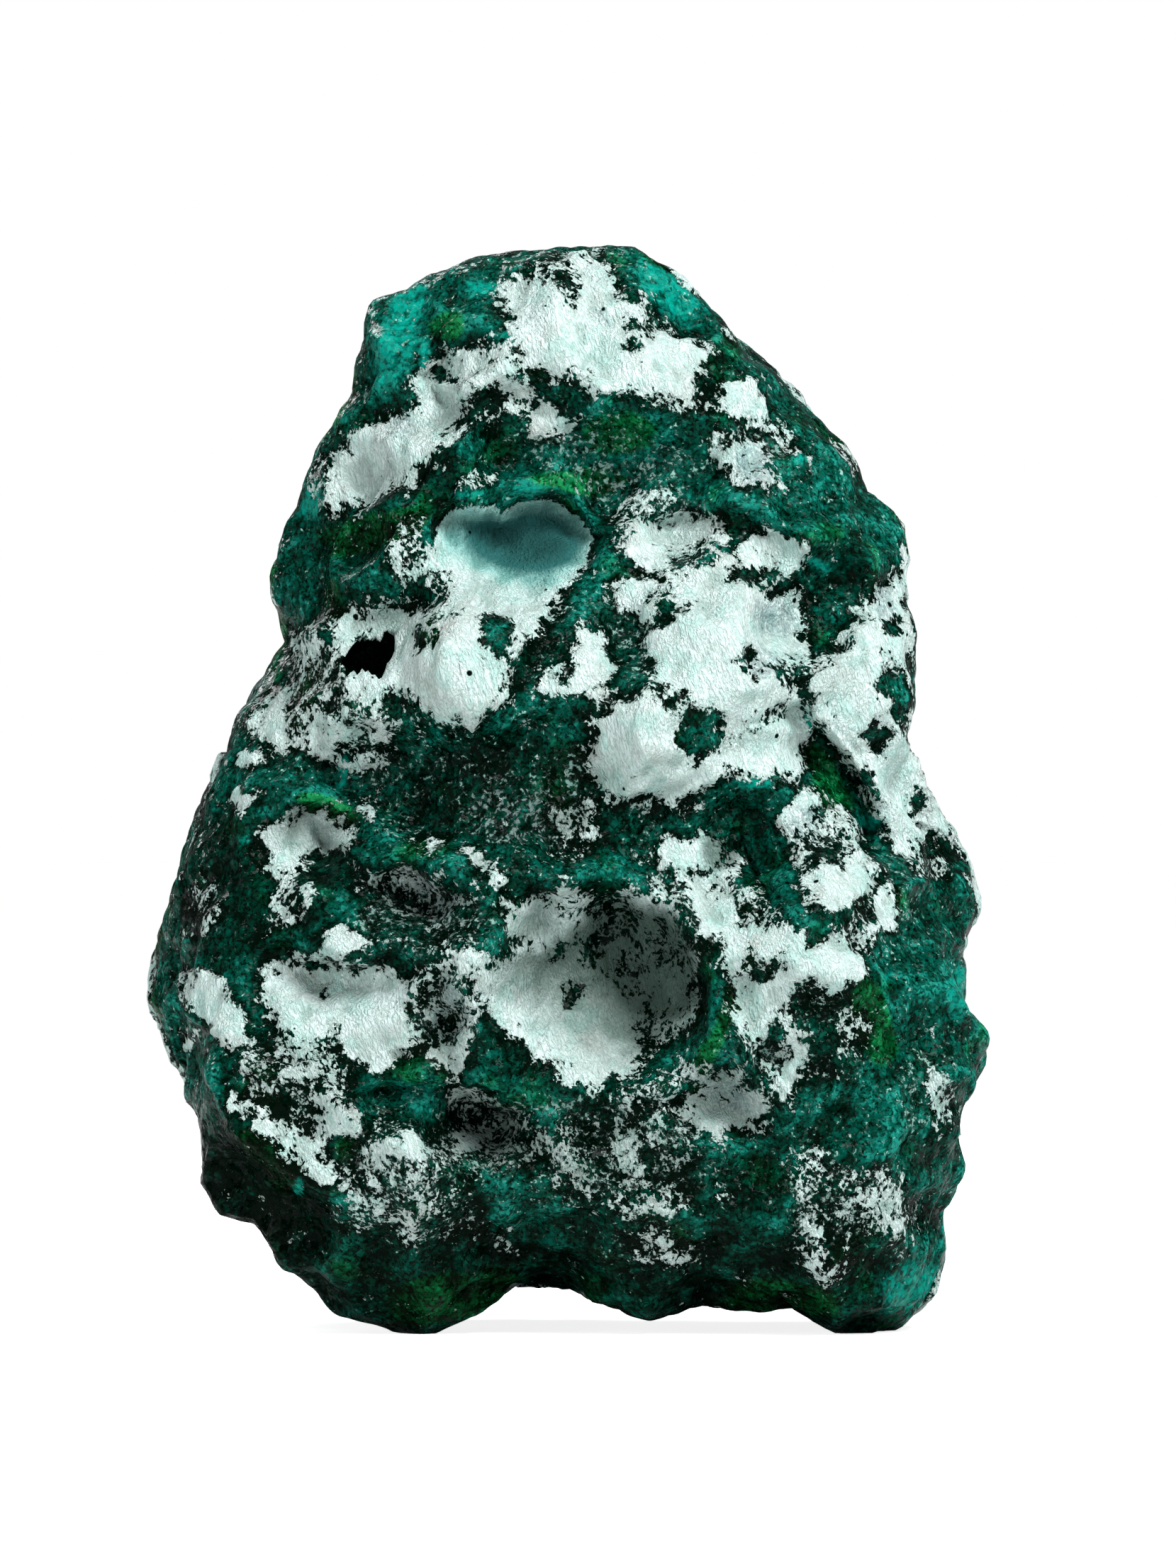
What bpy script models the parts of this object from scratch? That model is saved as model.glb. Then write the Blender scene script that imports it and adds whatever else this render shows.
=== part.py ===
"""A hand specimen of dioptase: one rough, broken stone that stands on its own base.

The stone is a sphere of square patches bent onto a body. The body's outline, seen from the
front, is a closed curve round a centre. Its profile from front to back is a rounded box, boxy
at the base and rounder at the top. Named brows, hollows, lumps and crests are then pressed
into the front, scallops and waves into the rest, and the base is cut flat where it rests.

Frame: +X to the right and -Y towards the viewer, +Z up, origin under the middle of the base.
"""

import math

import bmesh
import bpy
import numpy as np

MM = 0.001

# Driving dimensions, in millimetres.
HEIGHT = 76.4
CENTRE = np.array([0.0, 33.0])
FRONT_DEPTH_LOW = 19.0
FRONT_DEPTH_HIGH = 12.0
BACK_DEPTH_LOW = 21.0
BACK_DEPTH_HIGH = 13.0
BODY_MIDDLE = np.array([0.0, 0.0, 36.0])
BODY_HALF = np.array([27.0, 20.0, 38.0])
PATCH_CELLS = 28

# How boxy the profile from front to back is: 2 is an ellipse and 6 nearly a box.
BOXY_TOP = 2.6
BOXY_BASE = 6.0

# The outline is read at this many angles, and smoothed by keeping this many of its waves.
RING_STEPS = 720
SMOOTH_WAVES = 7

# The outline seen from the front, clockwise from the top: x and z in millimetres.
OUTLINE = [
    (0.5, 76.4), (4.5, 76.0), (7.4, 74.1), (10.2, 71.1), (12.8, 68.1), (16.2, 65.1),
    (19.3, 62.1), (21.0, 59.2), (23.4, 56.5), (23.8, 54.4), (23.2, 53.0), (23.8, 49.0),
    (23.9, 46.0), (23.2, 41.6), (24.3, 39.2), (26.4, 35.6), (28.6, 32.6), (29.0, 29.3),
    (27.7, 26.1), (27.6, 22.6), (29.0, 20.2), (29.3, 18.8), (27.2, 15.8), (27.0, 13.8),
    (27.5, 11.4), (26.1, 8.6), (26.0, 5.0), (25.4, 2.4), (22.8, 0.3), (20.0, -0.7),
    (17.6, 0.4), (15.5, 1.8), (9.5, 1.8), (5.5, 0.8), (2.5, 1.8), (0.0, 2.8),
    (-4.0, 3.0), (-7.0, 1.0), (-10.5, -0.7), (-14.5, 0.6), (-17.5, 2.9), (-20.5, 5.2),
    (-21.9, 8.1), (-24.0, 8.3), (-26.0, 11.2), (-26.0, 15.0), (-28.4, 19.8), (-29.7, 23.2),
    (-29.0, 27.2), (-26.6, 34.6), (-24.1, 40.8), (-22.6, 44.2), (-20.2, 48.4), (-21.2, 52.5),
    (-19.8, 57.7), (-17.2, 62.9), (-15.4, 65.1), (-15.0, 68.1), (-14.0, 72.0), (-11.7, 73.0),
    (-10.0, 74.1), (-5.0, 75.5), (-1.5, 76.2),
]

# Brows: a broken edge with the stone set back on its right-hand side, walking the points.
# name: (points, set back, how far the slope takes, how far until the stone is out again)
BROWS = {
    "under the cap": (
        [(-8.0, 67.6), (-2.5, 67.3), (3.0, 66.0), (8.5, 64.4), (14.0, 61.6)], 3.4, 7.0, 19.0),
    "under the left shoulder": (
        [(-6.0, 65.6), (-8.6, 62.2), (-12.2, 59.4), (-17.5, 57.3)], 2.8, 3.6, 9.5),
    "over the heart": (
        [(-11.0, 56.6), (-8.4, 58.0), (-5.0, 57.3), (-3.2, 58.6), (0.6, 58.2), (4.2, 55.2)],
        2.0, 0.9, 5.5),
    "over the right mass": (
        [(5.0, 57.4), (9.0, 58.2), (14.0, 57.2), (17.0, 54.4)], 1.5, 1.4, 5.0),
    "under the middle bulge": (
        [(-21.5, 42.6), (-14.5, 42.8), (-9.5, 42.2), (-5.0, 42.5), (-1.0, 44.0), (2.0, 40.4),
         (5.0, 37.8), (8.4, 36.4), (12.0, 38.4), (17.4, 39.2)], 3.4, 5.5, 11.0),
    "over the left bowl": (
        [(-23.5, 27.6), (-19.0, 26.5), (-13.0, 26.7), (-8.6, 25.6)], 1.7, 1.0, 4.5),
    "under the green crest": (
        [(-18.4, 35.8), (-15.2, 33.4), (-12.2, 32.6), (-6.4, 30.8)], 1.7, 0.9, 5.0),
    "low ledge": (
        [(-15.0, 17.6), (-10.0, 18.3), (-6.8, 16.4), (-3.0, 15.0)], 2.3, 0.9, 5.0),
    "over the base": (
        [(-20.0, 8.6), (-11.0, 8.2), (-5.0, 10.4), (3.0, 8.2), (10.0, 8.6), (16.0, 5.6)],
        2.2, 5.5, 14.0),
    "left keel": (
        [(-28.4, 25.0), (-25.6, 19.4), (-22.4, 14.0), (-19.2, 11.2), (-15.0, 10.2)], 3.0, 3.0, 8.0),
    "right edge": (
        [(17.0, 46.0), (18.2, 42.6), (20.8, 40.4), (22.2, 38.0), (24.6, 34.0)], 2.0, 1.2, 5.0),
}

# Hollows: name: (x, z, half width, half height, turn in degrees, depth, lean)
# A lean above 0 moves the deepest place up the hollow's own height, as under an overhang.
HOLLOWS = {
    "heart, left lobe": (-6.8, 54.6, 3.4, 3.9, 10, 1.5, 0.45),
    "heart, right lobe": (-2.3, 54.0, 4.5, 5.0, -12, 2.7, 0.5),
    "left hollow": (-12.6, 49.0, 3.4, 3.2, 20, 1.8, 0.3),
    "black pit": (-14.1, 47.4, 1.9, 1.3, 15, 2.6, 0.0),
    "small left hollow": (-17.9, 34.2, 3.4, 2.7, 15, 2.1, 0.4),
    "great bowl": (1.9, 24.0, 8.2, 7.2, -38, 5.6, 0.65),
    "bowl's upper left": (-3.0, 29.3, 3.2, 2.2, -20, 1.0, 0.2),
    "bowl's low end": (10.4, 16.4, 4.4, 3.2, -30, 2.2, 0.35),
    "left bowl": (-16.2, 21.8, 7.0, 4.8, -10, 2.3, 0.3),
    "step beside the left bowl": (-8.6, 20.6, 2.0, 4.0, 5, 1.4, 0.0),
    "ledge hollow": (-5.4, 13.4, 5.0, 3.2, -22, 2.2, 0.4),
    "under the crest": (-10.4, 29.8, 5.4, 2.8, -8, 1.3, 0.3),
    "valley by the right facet": (17.2, 50.4, 3.4, 6.4, -30, 2.6, 0.0),
    "dip under the right edge": (18.6, 39.4, 4.2, 3.2, -50, 1.4, 0.0),
    "dip in the green face": (4.0, 61.2, 6.0, 3.0, -15, 0.9, 0.2),
    "right flank scoop": (22.6, 23.0, 4.4, 7.0, 8, 1.5, 0.0),
    "base scoop": (-1.0, 4.6, 7.0, 4.2, 0, 1.6, 0.3),
    "right base scoop": (12.5, 4.4, 5.2, 3.4, 0, 1.4, 0.3),
    "top notch": (-10.6, 69.6, 2.0, 4.4, 18, 1.5, 0.0),
}

# Lumps: name: (x, z, half width, half height, turn in degrees, height)
LUMPS = {
    "cap": (2.5, 69.5, 9.0, 6.5, -20, 1.4),
    "right shoulder": (19.5, 57.4, 6.2, 6.4, -35, 2.4),
    "left shoulder": (-13.0, 61.8, 6.5, 4.2, 38, 1.2),
    "middle bulge": (-7.4, 46.4, 4.6, 6.8, 10, 2.6),
    "right mass": (10.8, 46.4, 8.0, 9.4, -25, 2.6),
    "right mass, low lobe": (5.2, 41.8, 4.0, 4.6, 25, 1.5),
    "right swell": (15.0, 28.0, 8.0, 9.0, 25, 1.6),
    "patch by the bowl": (7.8, 33.2, 3.2, 3.4, 20, 1.2),
    "round patch": (18.6, 31.0, 3.6, 3.8, 0, 1.0),
    "low left apron": (-12.0, 12.2, 7.0, 5.0, -30, 1.6),
    "low right foot": (20.5, 8.0, 7.0, 8.0, 0, 1.6),
    "ring knob": (-19.3, 30.1, 2.2, 2.1, 0, 0.9),
}

# Crests: name: (points, height, half width)
CRESTS = {
    "between the bowl and the right flank": (
        [(-3.6, 31.4), (3.0, 32.2), (8.0, 29.4), (10.2, 24.0), (11.4, 20.2), (15.0, 13.2)],
        1.5, 2.0),
    "between the bowls": ([(-7.0, 28.6), (-6.6, 24.0), (-7.4, 19.0)], 1.1, 1.6),
    "green crest": ([(-21.0, 38.4), (-16.0, 37.0), (-12.4, 34.2), (-6.0, 32.2)], 1.1, 1.8),
    "left keel": ([(-28.4, 25.0), (-25.6, 19.4), (-22.4, 14.0), (-19.2, 11.2), (-15.0, 10.2)],
                  1.0, 1.6),
    "right edge": ([(16.8, 46.6), (18.2, 42.6), (21.4, 39.4), (25.0, 33.6)], 0.8, 1.4),
    "left ridge of the cap": ([(-9.0, 74.0), (-10.2, 71.0), (-12.4, 65.6)], 0.9, 1.3),
}

# The share of a brow's or a crest's length over which it runs out at each end.
RUN_OUT = 0.15

# Relief all round: scallops broken out of the stone, then waves and creases (wavelength, size).
# The front's features wander by as much as the last list says, so that no rim is a clean curve.
SCALLOPS = 90
SCALLOP_SIZE = 11.0
SCALLOP_DEPTH = 1.9
WAVES = [(24.0, 1.0), (9.0, 0.45), (5.0, 0.22)]
CREASES = (8.0, 0.7)
WANDER = [(7.0, 0.2), (3.6, 0.15)]
KEEL_BEND = 0.16
SET_BACK = 1.0
OUTLINE_KEPT = 0.94
OUTLINE_LIMIT = 1.02
SEED = 7

GREEN = (0.004, 0.095, 0.06, 1.0)


def smooth(low, high, value):
    """0 below low, 1 above high, and an S-curve between."""
    t = np.clip((value - low) / (high - low), 0.0, 1.0)
    return t * t * (3.0 - 2.0 * t)


def outline_radius(angle, detail):
    """The outline's distance from its centre at each angle.

    Detail runs from 0, the outline smoothed to its first few waves, to 1, the outline as broken.
    """
    points = np.array(OUTLINE) - CENTRE
    at = np.arctan2(points[:, 1], points[:, 0])
    order = np.argsort(at)
    at, radius = at[order], np.hypot(*points[order].T)
    ring = np.linspace(-math.pi, math.pi, RING_STEPS, endpoint=False)
    broken = np.interp(ring, at, radius, period=2 * math.pi)
    spectrum = np.fft.rfft(broken)
    spectrum[SMOOTH_WAVES:] = 0
    soft = np.fft.irfft(spectrum, RING_STEPS)
    as_smoothed = np.interp(angle, ring, soft, period=2 * math.pi)
    as_broken = np.interp(angle, ring, broken, period=2 * math.pi)
    return as_smoothed + (as_broken - as_smoothed) * detail


def within_outline(points):
    """Where each point lies once what stands out past the outline is drawn softly back to it."""
    x, z = points[:, 0] - CENTRE[0], points[:, 2] - CENTRE[1]
    share = np.hypot(x, z) / outline_radius(np.arctan2(z, x), 1.0)
    beyond = np.clip((share - OUTLINE_KEPT) / (1.0 - OUTLINE_KEPT), 0.0, None)
    drawn = OUTLINE_KEPT + (OUTLINE_LIMIT - OUTLINE_KEPT) * np.tanh(beyond)
    ratio = np.where(beyond > 0.0, drawn / np.maximum(share, OUTLINE_KEPT), 1.0)
    return CENTRE[0] + x * ratio, CENTRE[1] + z * ratio


def ellipse(x, z, cx, cz, half_width, half_height, turn):
    """Coordinates inside a turned ellipse, each from -1 to 1 across it."""
    c, s = math.cos(math.radians(turn)), math.sin(math.radians(turn))
    u = ((x - cx) * c + (z - cz) * s) / half_width
    v = ((z - cz) * c - (x - cx) * s) / half_height
    return u, v


def hollow(x, z, cx, cz, half_width, half_height, turn, depth, lean):
    """A bowl one unit deep at its middle, with a crisp rim; the lean steepens its upper wall."""
    u, v = ellipse(x, z, cx, cz, half_width, half_height, turn)
    inside = np.clip(1.0 - u * u - v * v, 0.0, None)
    return -depth * inside**0.85 * (1.0 + lean * v)


def lump(x, z, cx, cz, half_width, half_height, turn, height):
    """A rounded swelling that runs out smoothly."""
    u, v = ellipse(x, z, cx, cz, half_width, half_height, turn)
    return height * np.clip(1.0 - u * u - v * v, 0.0, None) ** 1.5


def along_line(x, z, points):
    """Signed distance from a polyline, above 0 on its right, and the share of it walked."""
    points = np.array(points, float)
    lengths = np.hypot(*np.diff(points, axis=0).T)
    walked = np.concatenate([[0.0], np.cumsum(lengths)])
    best = np.full(x.shape, 1e9)
    signed = np.zeros(x.shape)
    share = np.zeros(x.shape)
    for i, length in enumerate(lengths):
        dx, dz = (points[i + 1] - points[i]) / length
        px, pz = x - points[i, 0], z - points[i, 1]
        t = np.clip(px * dx + pz * dz, 0.0, length)
        distance = np.hypot(px - t * dx, pz - t * dz)
        nearer = distance < best
        best = np.where(nearer, distance, best)
        signed = np.where(nearer, np.sign(px * dz - pz * dx) * distance, signed)
        share = np.where(nearer, (walked[i] + t) / walked[-1], share)
    return signed, share


def brow(x, z, points, back, slope, run):
    """The stone set back beside an edge: it falls away over the slope, and is out again at the run."""
    side, share = along_line(x, z, points)
    ends = smooth(0.0, RUN_OUT, share) * smooth(0.0, RUN_OUT, 1.0 - share)
    fallen = np.clip(side / slope, 0.0, 1.0)
    return -back * ends * fallen * (2.0 - fallen) * (1.0 - smooth(slope, run, side))


def crest(x, z, points, height, half_width):
    """A raised crest with a sharp top along a line."""
    side, share = along_line(x, z, points)
    ends = smooth(0.0, RUN_OUT, share) * smooth(0.0, RUN_OUT, 1.0 - share)
    return height * ends * np.clip(1.0 - np.abs(side) / half_width, 0.0, 1.0) ** 1.4


def front_relief(x, z):
    """Everything pressed into the front or standing proud of it, in millimetres towards the viewer."""
    total = np.zeros(x.shape)
    for shape, features in ((brow, BROWS), (hollow, HOLLOWS), (lump, LUMPS), (crest, CRESTS)):
        for values in features.values():
            total += shape(x, z, *values)
    return total


def scallops(points, random):
    """Scoops with edges between them: the squared distance to the nearest of many random points."""
    way = random.normal(size=(SCALLOPS, 3))
    way /= np.linalg.norm(way, axis=1)[:, None]
    middles = way * BODY_HALF + BODY_MIDDLE
    nearest = np.min(np.linalg.norm(points[:, None] - middles[None], axis=2), axis=1)
    return SCALLOP_DEPTH * (np.clip(nearest / SCALLOP_SIZE, 0.0, 1.0) ** 2 - 0.35)


def waves(points, wavelength, random, count=20):
    """A smooth random swell: the sum of plane waves of one length in many directions."""
    way = random.normal(size=(count, 3))
    way *= (2 * math.pi / wavelength) / np.linalg.norm(way, axis=1)[:, None]
    phase = random.uniform(0, 2 * math.pi, count)
    return np.sin(points @ way.T + phase).sum(axis=1) / math.sqrt(count / 2)


def stone_points(direction):
    """The stone's surface in millimetres, for unit directions from its middle."""
    random = np.random.default_rng(SEED)
    front = -direction[:, 1]
    across = np.hypot(direction[:, 0], direction[:, 2])
    angle = np.arctan2(direction[:, 2], direction[:, 0])
    angle = angle + KEEL_BEND * front**2 * waves(direction, 1.1, random)
    downward = smooth(0.35, 0.95, -np.sin(angle))
    boxy = BOXY_TOP + (BOXY_BASE - BOXY_TOP) * smooth(-0.2, 0.8, -np.sin(angle))
    reach = (across**boxy + np.abs(front) ** boxy) ** (-1.0 / boxy)

    edge_on = np.exp(-((front / 0.45) ** 2))
    radius = outline_radius(angle, np.maximum(edge_on, downward))
    x = CENTRE[0] + radius * np.cos(angle) * reach * across
    z = CENTRE[1] + radius * np.sin(angle) * reach * across
    height = np.clip(z / HEIGHT, 0.0, 1.0)
    front_depth = FRONT_DEPTH_LOW + (FRONT_DEPTH_HIGH - FRONT_DEPTH_LOW) * smooth(0.2, 1.0, height)
    back_depth = BACK_DEPTH_LOW + (BACK_DEPTH_HIGH - BACK_DEPTH_LOW) * smooth(0.1, 1.0, height)
    y = -front * reach * np.where(front > 0, front_depth, back_depth)

    points = np.stack([x, y, z], axis=1)
    outward = (points - BODY_MIDDLE) / BODY_HALF**2
    outward /= np.linalg.norm(outward, axis=1)[:, None]
    facing = smooth(0.1, 0.6, front)
    away = 1.0 - 0.75 * facing
    rough = scallops(points, random) * away
    for wavelength, size in WAVES:
        rough += waves(points, wavelength, random) * size * (1.0 - 0.4 * facing)
    rough -= (np.abs(waves(points, CREASES[0], random)) - 0.6) * CREASES[1]
    flank = 1.0 - np.exp(-((front / 0.3) ** 2))
    aside = sum(waves(points, wavelength, random) * size for wavelength, size in WANDER)
    upward = sum(waves(points, wavelength, random) * size for wavelength, size in WANDER)
    relief = front_relief(points[:, 0] + aside, points[:, 2] + upward) * facing
    push = rough * (0.15 + 0.85 * flank) - SET_BACK * flank * np.hypot(outward[:, 0], outward[:, 2])
    points += outward * push[:, None]
    points[:, 1] -= relief
    points[:, 0], points[:, 2] = within_outline(points)
    return points


def remove_everything():
    for item in list(bpy.data.objects):
        bpy.data.objects.remove(item)


def collection_named(name):
    made = bpy.data.collections.new(name)
    bpy.context.scene.collection.children.link(made)
    return made


def dioptase_material():
    material = bpy.data.materials.new("dioptase")
    material.use_nodes = True
    shader = material.node_tree.nodes["Principled BSDF"]
    shader.inputs["Base Color"].default_value = GREEN
    shader.inputs["Roughness"].default_value = 0.35
    shader.inputs["Metallic"].default_value = 0.0
    material.diffuse_color = GREEN
    return material


def stone_object(collection):
    """The whole stone: a cube cut into square patches, rounded to a sphere and bent onto the body."""
    mesh = bpy.data.meshes.new("dioptase_stone")
    cage = bmesh.new()
    bmesh.ops.create_cube(cage, size=2.0)
    bmesh.ops.subdivide_edges(cage, edges=cage.edges[:], cuts=PATCH_CELLS - 1, use_grid_fill=True)
    cage.to_mesh(mesh)
    cage.free()
    corners = np.zeros(len(mesh.vertices) * 3)
    mesh.vertices.foreach_get("co", corners)
    direction = np.tan(corners.reshape(-1, 3) * math.pi / 4)
    direction /= np.linalg.norm(direction, axis=1)[:, None]
    mesh.vertices.foreach_set("co", (stone_points(direction) * MM).ravel())
    mesh.update()
    stone = bpy.data.objects.new("dioptase_stone", mesh)
    stone.data.materials.append(dioptase_material())
    collection.objects.link(stone)
    return stone


def cut_base_flat(stone, cutters):
    """Takes off what reaches below the resting plane, so that the stone stands on flat feet."""
    side = 120 * MM
    mesh = bpy.data.meshes.new("resting_plane")
    box = bmesh.new()
    bmesh.ops.create_cube(box, size=side)
    bmesh.ops.translate(box, verts=box.verts, vec=(0, 0, -side / 2))
    box.to_mesh(mesh)
    box.free()
    cutter = bpy.data.objects.new("resting_plane", mesh)
    cutter.hide_render = True
    cutter.display_type = "WIRE"
    cutters.objects.link(cutter)
    cut = stone.modifiers.new("flat feet", "BOOLEAN")
    cut.operation = "DIFFERENCE"
    cut.object = cutter


def centre_over_origin(stone):
    """Moves the stone so that the middle of its width and depth is over the origin."""
    points = np.zeros(len(stone.data.vertices) * 3)
    stone.data.vertices.foreach_get("co", points)
    points = points.reshape(-1, 3)
    middle = (points.min(axis=0) + points.max(axis=0)) / 2
    points[:, :2] -= middle[:2]
    stone.data.vertices.foreach_set("co", points.ravel())
    stone.data.update()


def main():
    remove_everything()
    parts = collection_named("dioptase specimen")
    cutters = collection_named("cutters")
    stone = stone_object(parts)
    centre_over_origin(stone)
    cut_base_flat(stone, cutters)


main()
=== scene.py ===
"""A dioptase hand specimen: one broken stone, its granular green mineral and its pale crust.

The tables give places on the stone in millimetres: x to the right and z up, seen from the front,
with z at 0 on the surface it stands on. One millimetre is 20 pixels of the reference picture.
Blender's own lengths, in the settings and in the finished meshes, are metres.
"""

import math

import bpy
import numpy as np
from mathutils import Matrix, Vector


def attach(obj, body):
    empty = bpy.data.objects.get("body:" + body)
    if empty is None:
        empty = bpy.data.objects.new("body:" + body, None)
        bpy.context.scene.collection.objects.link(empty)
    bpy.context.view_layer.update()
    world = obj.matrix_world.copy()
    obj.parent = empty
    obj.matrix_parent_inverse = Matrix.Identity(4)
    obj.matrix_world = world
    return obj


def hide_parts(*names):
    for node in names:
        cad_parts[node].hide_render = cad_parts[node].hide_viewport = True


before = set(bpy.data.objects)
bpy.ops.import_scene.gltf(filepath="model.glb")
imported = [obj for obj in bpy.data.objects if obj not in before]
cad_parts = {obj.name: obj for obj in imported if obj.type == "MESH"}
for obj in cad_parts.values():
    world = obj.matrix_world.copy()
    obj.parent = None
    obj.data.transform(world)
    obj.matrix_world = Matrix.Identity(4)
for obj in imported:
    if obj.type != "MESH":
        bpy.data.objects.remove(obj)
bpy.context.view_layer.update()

bl_info = {
    "name": "Dioptase Specimen",
    "version": (1, 0, 0),
    "blender": (4, 5, 0),
    "location": "View3D > Sidebar > Specimen",
    "description": "Builds a crusted dioptase stone and a plain studio for it",
    "category": "Add Mesh",
}

MM = 0.001
STONE_NODE = "dioptase_stone"

# The body of the stone, as its solid has it.
CENTRE = np.array([0.0, 33.0])
HEIGHT = 76.4
FRONT_DEPTH_LOW = 19.0
FRONT_DEPTH_HIGH = 12.0
BACK_DEPTH_LOW = 21.0
BACK_DEPTH_HIGH = 13.0
BODY_MIDDLE = np.array([0.0, 0.0, 36.0])
BODY_HALF = np.array([27.0, 20.0, 38.0])
BOXY_TOP = 2.6
BOXY_BASE = 6.0
RING_STEPS = 720
SMOOTH_WAVES = 7
KEEL_BEND = 0.16
BEND_WAVELENGTH = 1.1
SET_BACK = 1.0
OUTLINE_KEPT = 0.94
OUTLINE_LIMIT = 1.02
RUN_OUT = 0.15
SCALLOPS = 90
SCALLOP_SIZE = 11.0
SCALLOP_DEPTH = 1.9
SCALLOP_LEVEL = 0.35
WAVES = [(24.0, 1.0), (9.0, 0.45), (5.0, 0.22)]
CREASES = (8.0, 0.7)
CREASE_LEVEL = 0.6
WANDER = [(7.0, 0.2), (3.6, 0.15)]
SEED = 7

# Where the body's rules begin and are full: how far down the outline is broken all through and
# gets squarer, how high up the front and the back draw in, and how far forwards the front is.
BROKEN_DOWN = (0.35, 0.95)
SQUARER_DOWN = (-0.2, 0.8)
FRONT_DRAWN_IN = (0.2, 1.0)
BACK_DRAWN_IN = (0.1, 1.0)
FACES_FRONT = (0.1, 0.6)

# Bands along the outline: how wide the broken one and the calm one are, and how rough it stays
# in the calm one. The scallops and the waves lose these shares of their size on the front.
BROKEN_BAND = 0.45
CALM_BAND = 0.3
CALM_ROUGHNESS = 0.15
SCALLOPS_LOSE = 0.75
WAVES_LOSE = 0.4

# The outline seen from the front, clockwise from the top: x and z.
OUTLINE = [
    (0.5, 76.4), (4.5, 76.0), (7.4, 74.1), (10.2, 71.1), (12.8, 68.1), (16.2, 65.1),
    (19.3, 62.1), (21.0, 59.2), (23.4, 56.5), (23.8, 54.4), (23.2, 53.0), (23.8, 49.0),
    (23.9, 46.0), (23.2, 41.6), (24.3, 39.2), (26.4, 35.6), (28.6, 32.6), (29.0, 29.3),
    (27.7, 26.1), (27.6, 22.6), (29.0, 20.2), (29.3, 18.8), (27.2, 15.8), (27.0, 13.8),
    (27.5, 11.4), (26.1, 8.6), (26.0, 5.0), (25.4, 2.4), (22.8, 0.3), (20.0, -0.7),
    (17.6, 0.4), (15.5, 1.8), (9.5, 1.8), (5.5, 0.8), (2.5, 1.8), (0.0, 2.8),
    (-4.0, 3.0), (-7.0, 1.0), (-10.5, -0.7), (-14.5, 0.6), (-17.5, 2.9), (-20.5, 5.2),
    (-21.9, 8.1), (-24.0, 8.3), (-26.0, 11.2), (-26.0, 15.0), (-28.4, 19.8), (-29.7, 23.2),
    (-29.0, 27.2), (-26.6, 34.6), (-24.1, 40.8), (-22.6, 44.2), (-20.2, 48.4), (-21.2, 52.5),
    (-19.8, 57.7), (-17.2, 62.9), (-15.4, 65.1), (-15.0, 68.1), (-14.0, 72.0), (-11.7, 73.0),
    (-10.0, 74.1), (-5.0, 75.5), (-1.5, 76.2),
]

# Brows: a broken edge with the stone set back on its right-hand side, walking the points.
# name: (points, set back, how far the slope takes, how far until the stone is out again)
BROWS = {
    "under the cap": (
        [(-8.0, 67.6), (-2.5, 67.3), (3.0, 66.0), (8.5, 64.4), (14.0, 61.6)], 3.4, 7.0, 19.0),
    "under the left shoulder": (
        [(-6.0, 65.6), (-8.6, 62.2), (-12.2, 59.4), (-17.5, 57.3)], 2.8, 3.6, 9.5),
    "over the heart": (
        [(-11.0, 56.6), (-8.4, 58.0), (-5.0, 57.3), (-3.2, 58.6), (0.6, 58.2), (4.2, 55.2)],
        2.0, 0.9, 5.5),
    "over the right mass": (
        [(5.0, 57.4), (9.0, 58.2), (14.0, 57.2), (17.0, 54.4)], 1.5, 1.4, 5.0),
    "under the middle bulge": (
        [(-21.5, 42.6), (-14.5, 42.8), (-9.5, 42.2), (-5.0, 42.5), (-1.0, 44.0), (2.0, 40.4),
         (5.0, 37.8), (8.4, 36.4), (12.0, 38.4), (17.4, 39.2)], 3.4, 5.5, 11.0),
    "over the left bowl": (
        [(-23.5, 27.6), (-19.0, 26.5), (-13.0, 26.7), (-8.6, 25.6)], 1.7, 1.0, 4.5),
    "under the green crest": (
        [(-18.4, 35.8), (-15.2, 33.4), (-12.2, 32.6), (-6.4, 30.8)], 1.7, 0.9, 5.0),
    "low ledge": (
        [(-15.0, 17.6), (-10.0, 18.3), (-6.8, 16.4), (-3.0, 15.0)], 2.3, 0.9, 5.0),
    "over the base": (
        [(-20.0, 8.6), (-11.0, 8.2), (-5.0, 10.4), (3.0, 8.2), (10.0, 8.6), (16.0, 5.6)],
        2.2, 5.5, 14.0),
    "left keel": (
        [(-28.4, 25.0), (-25.6, 19.4), (-22.4, 14.0), (-19.2, 11.2), (-15.0, 10.2)], 3.0, 3.0, 8.0),
    "right edge": (
        [(17.0, 46.0), (18.2, 42.6), (20.8, 40.4), (22.2, 38.0), (24.6, 34.0)], 2.0, 1.2, 5.0),
}

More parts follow.
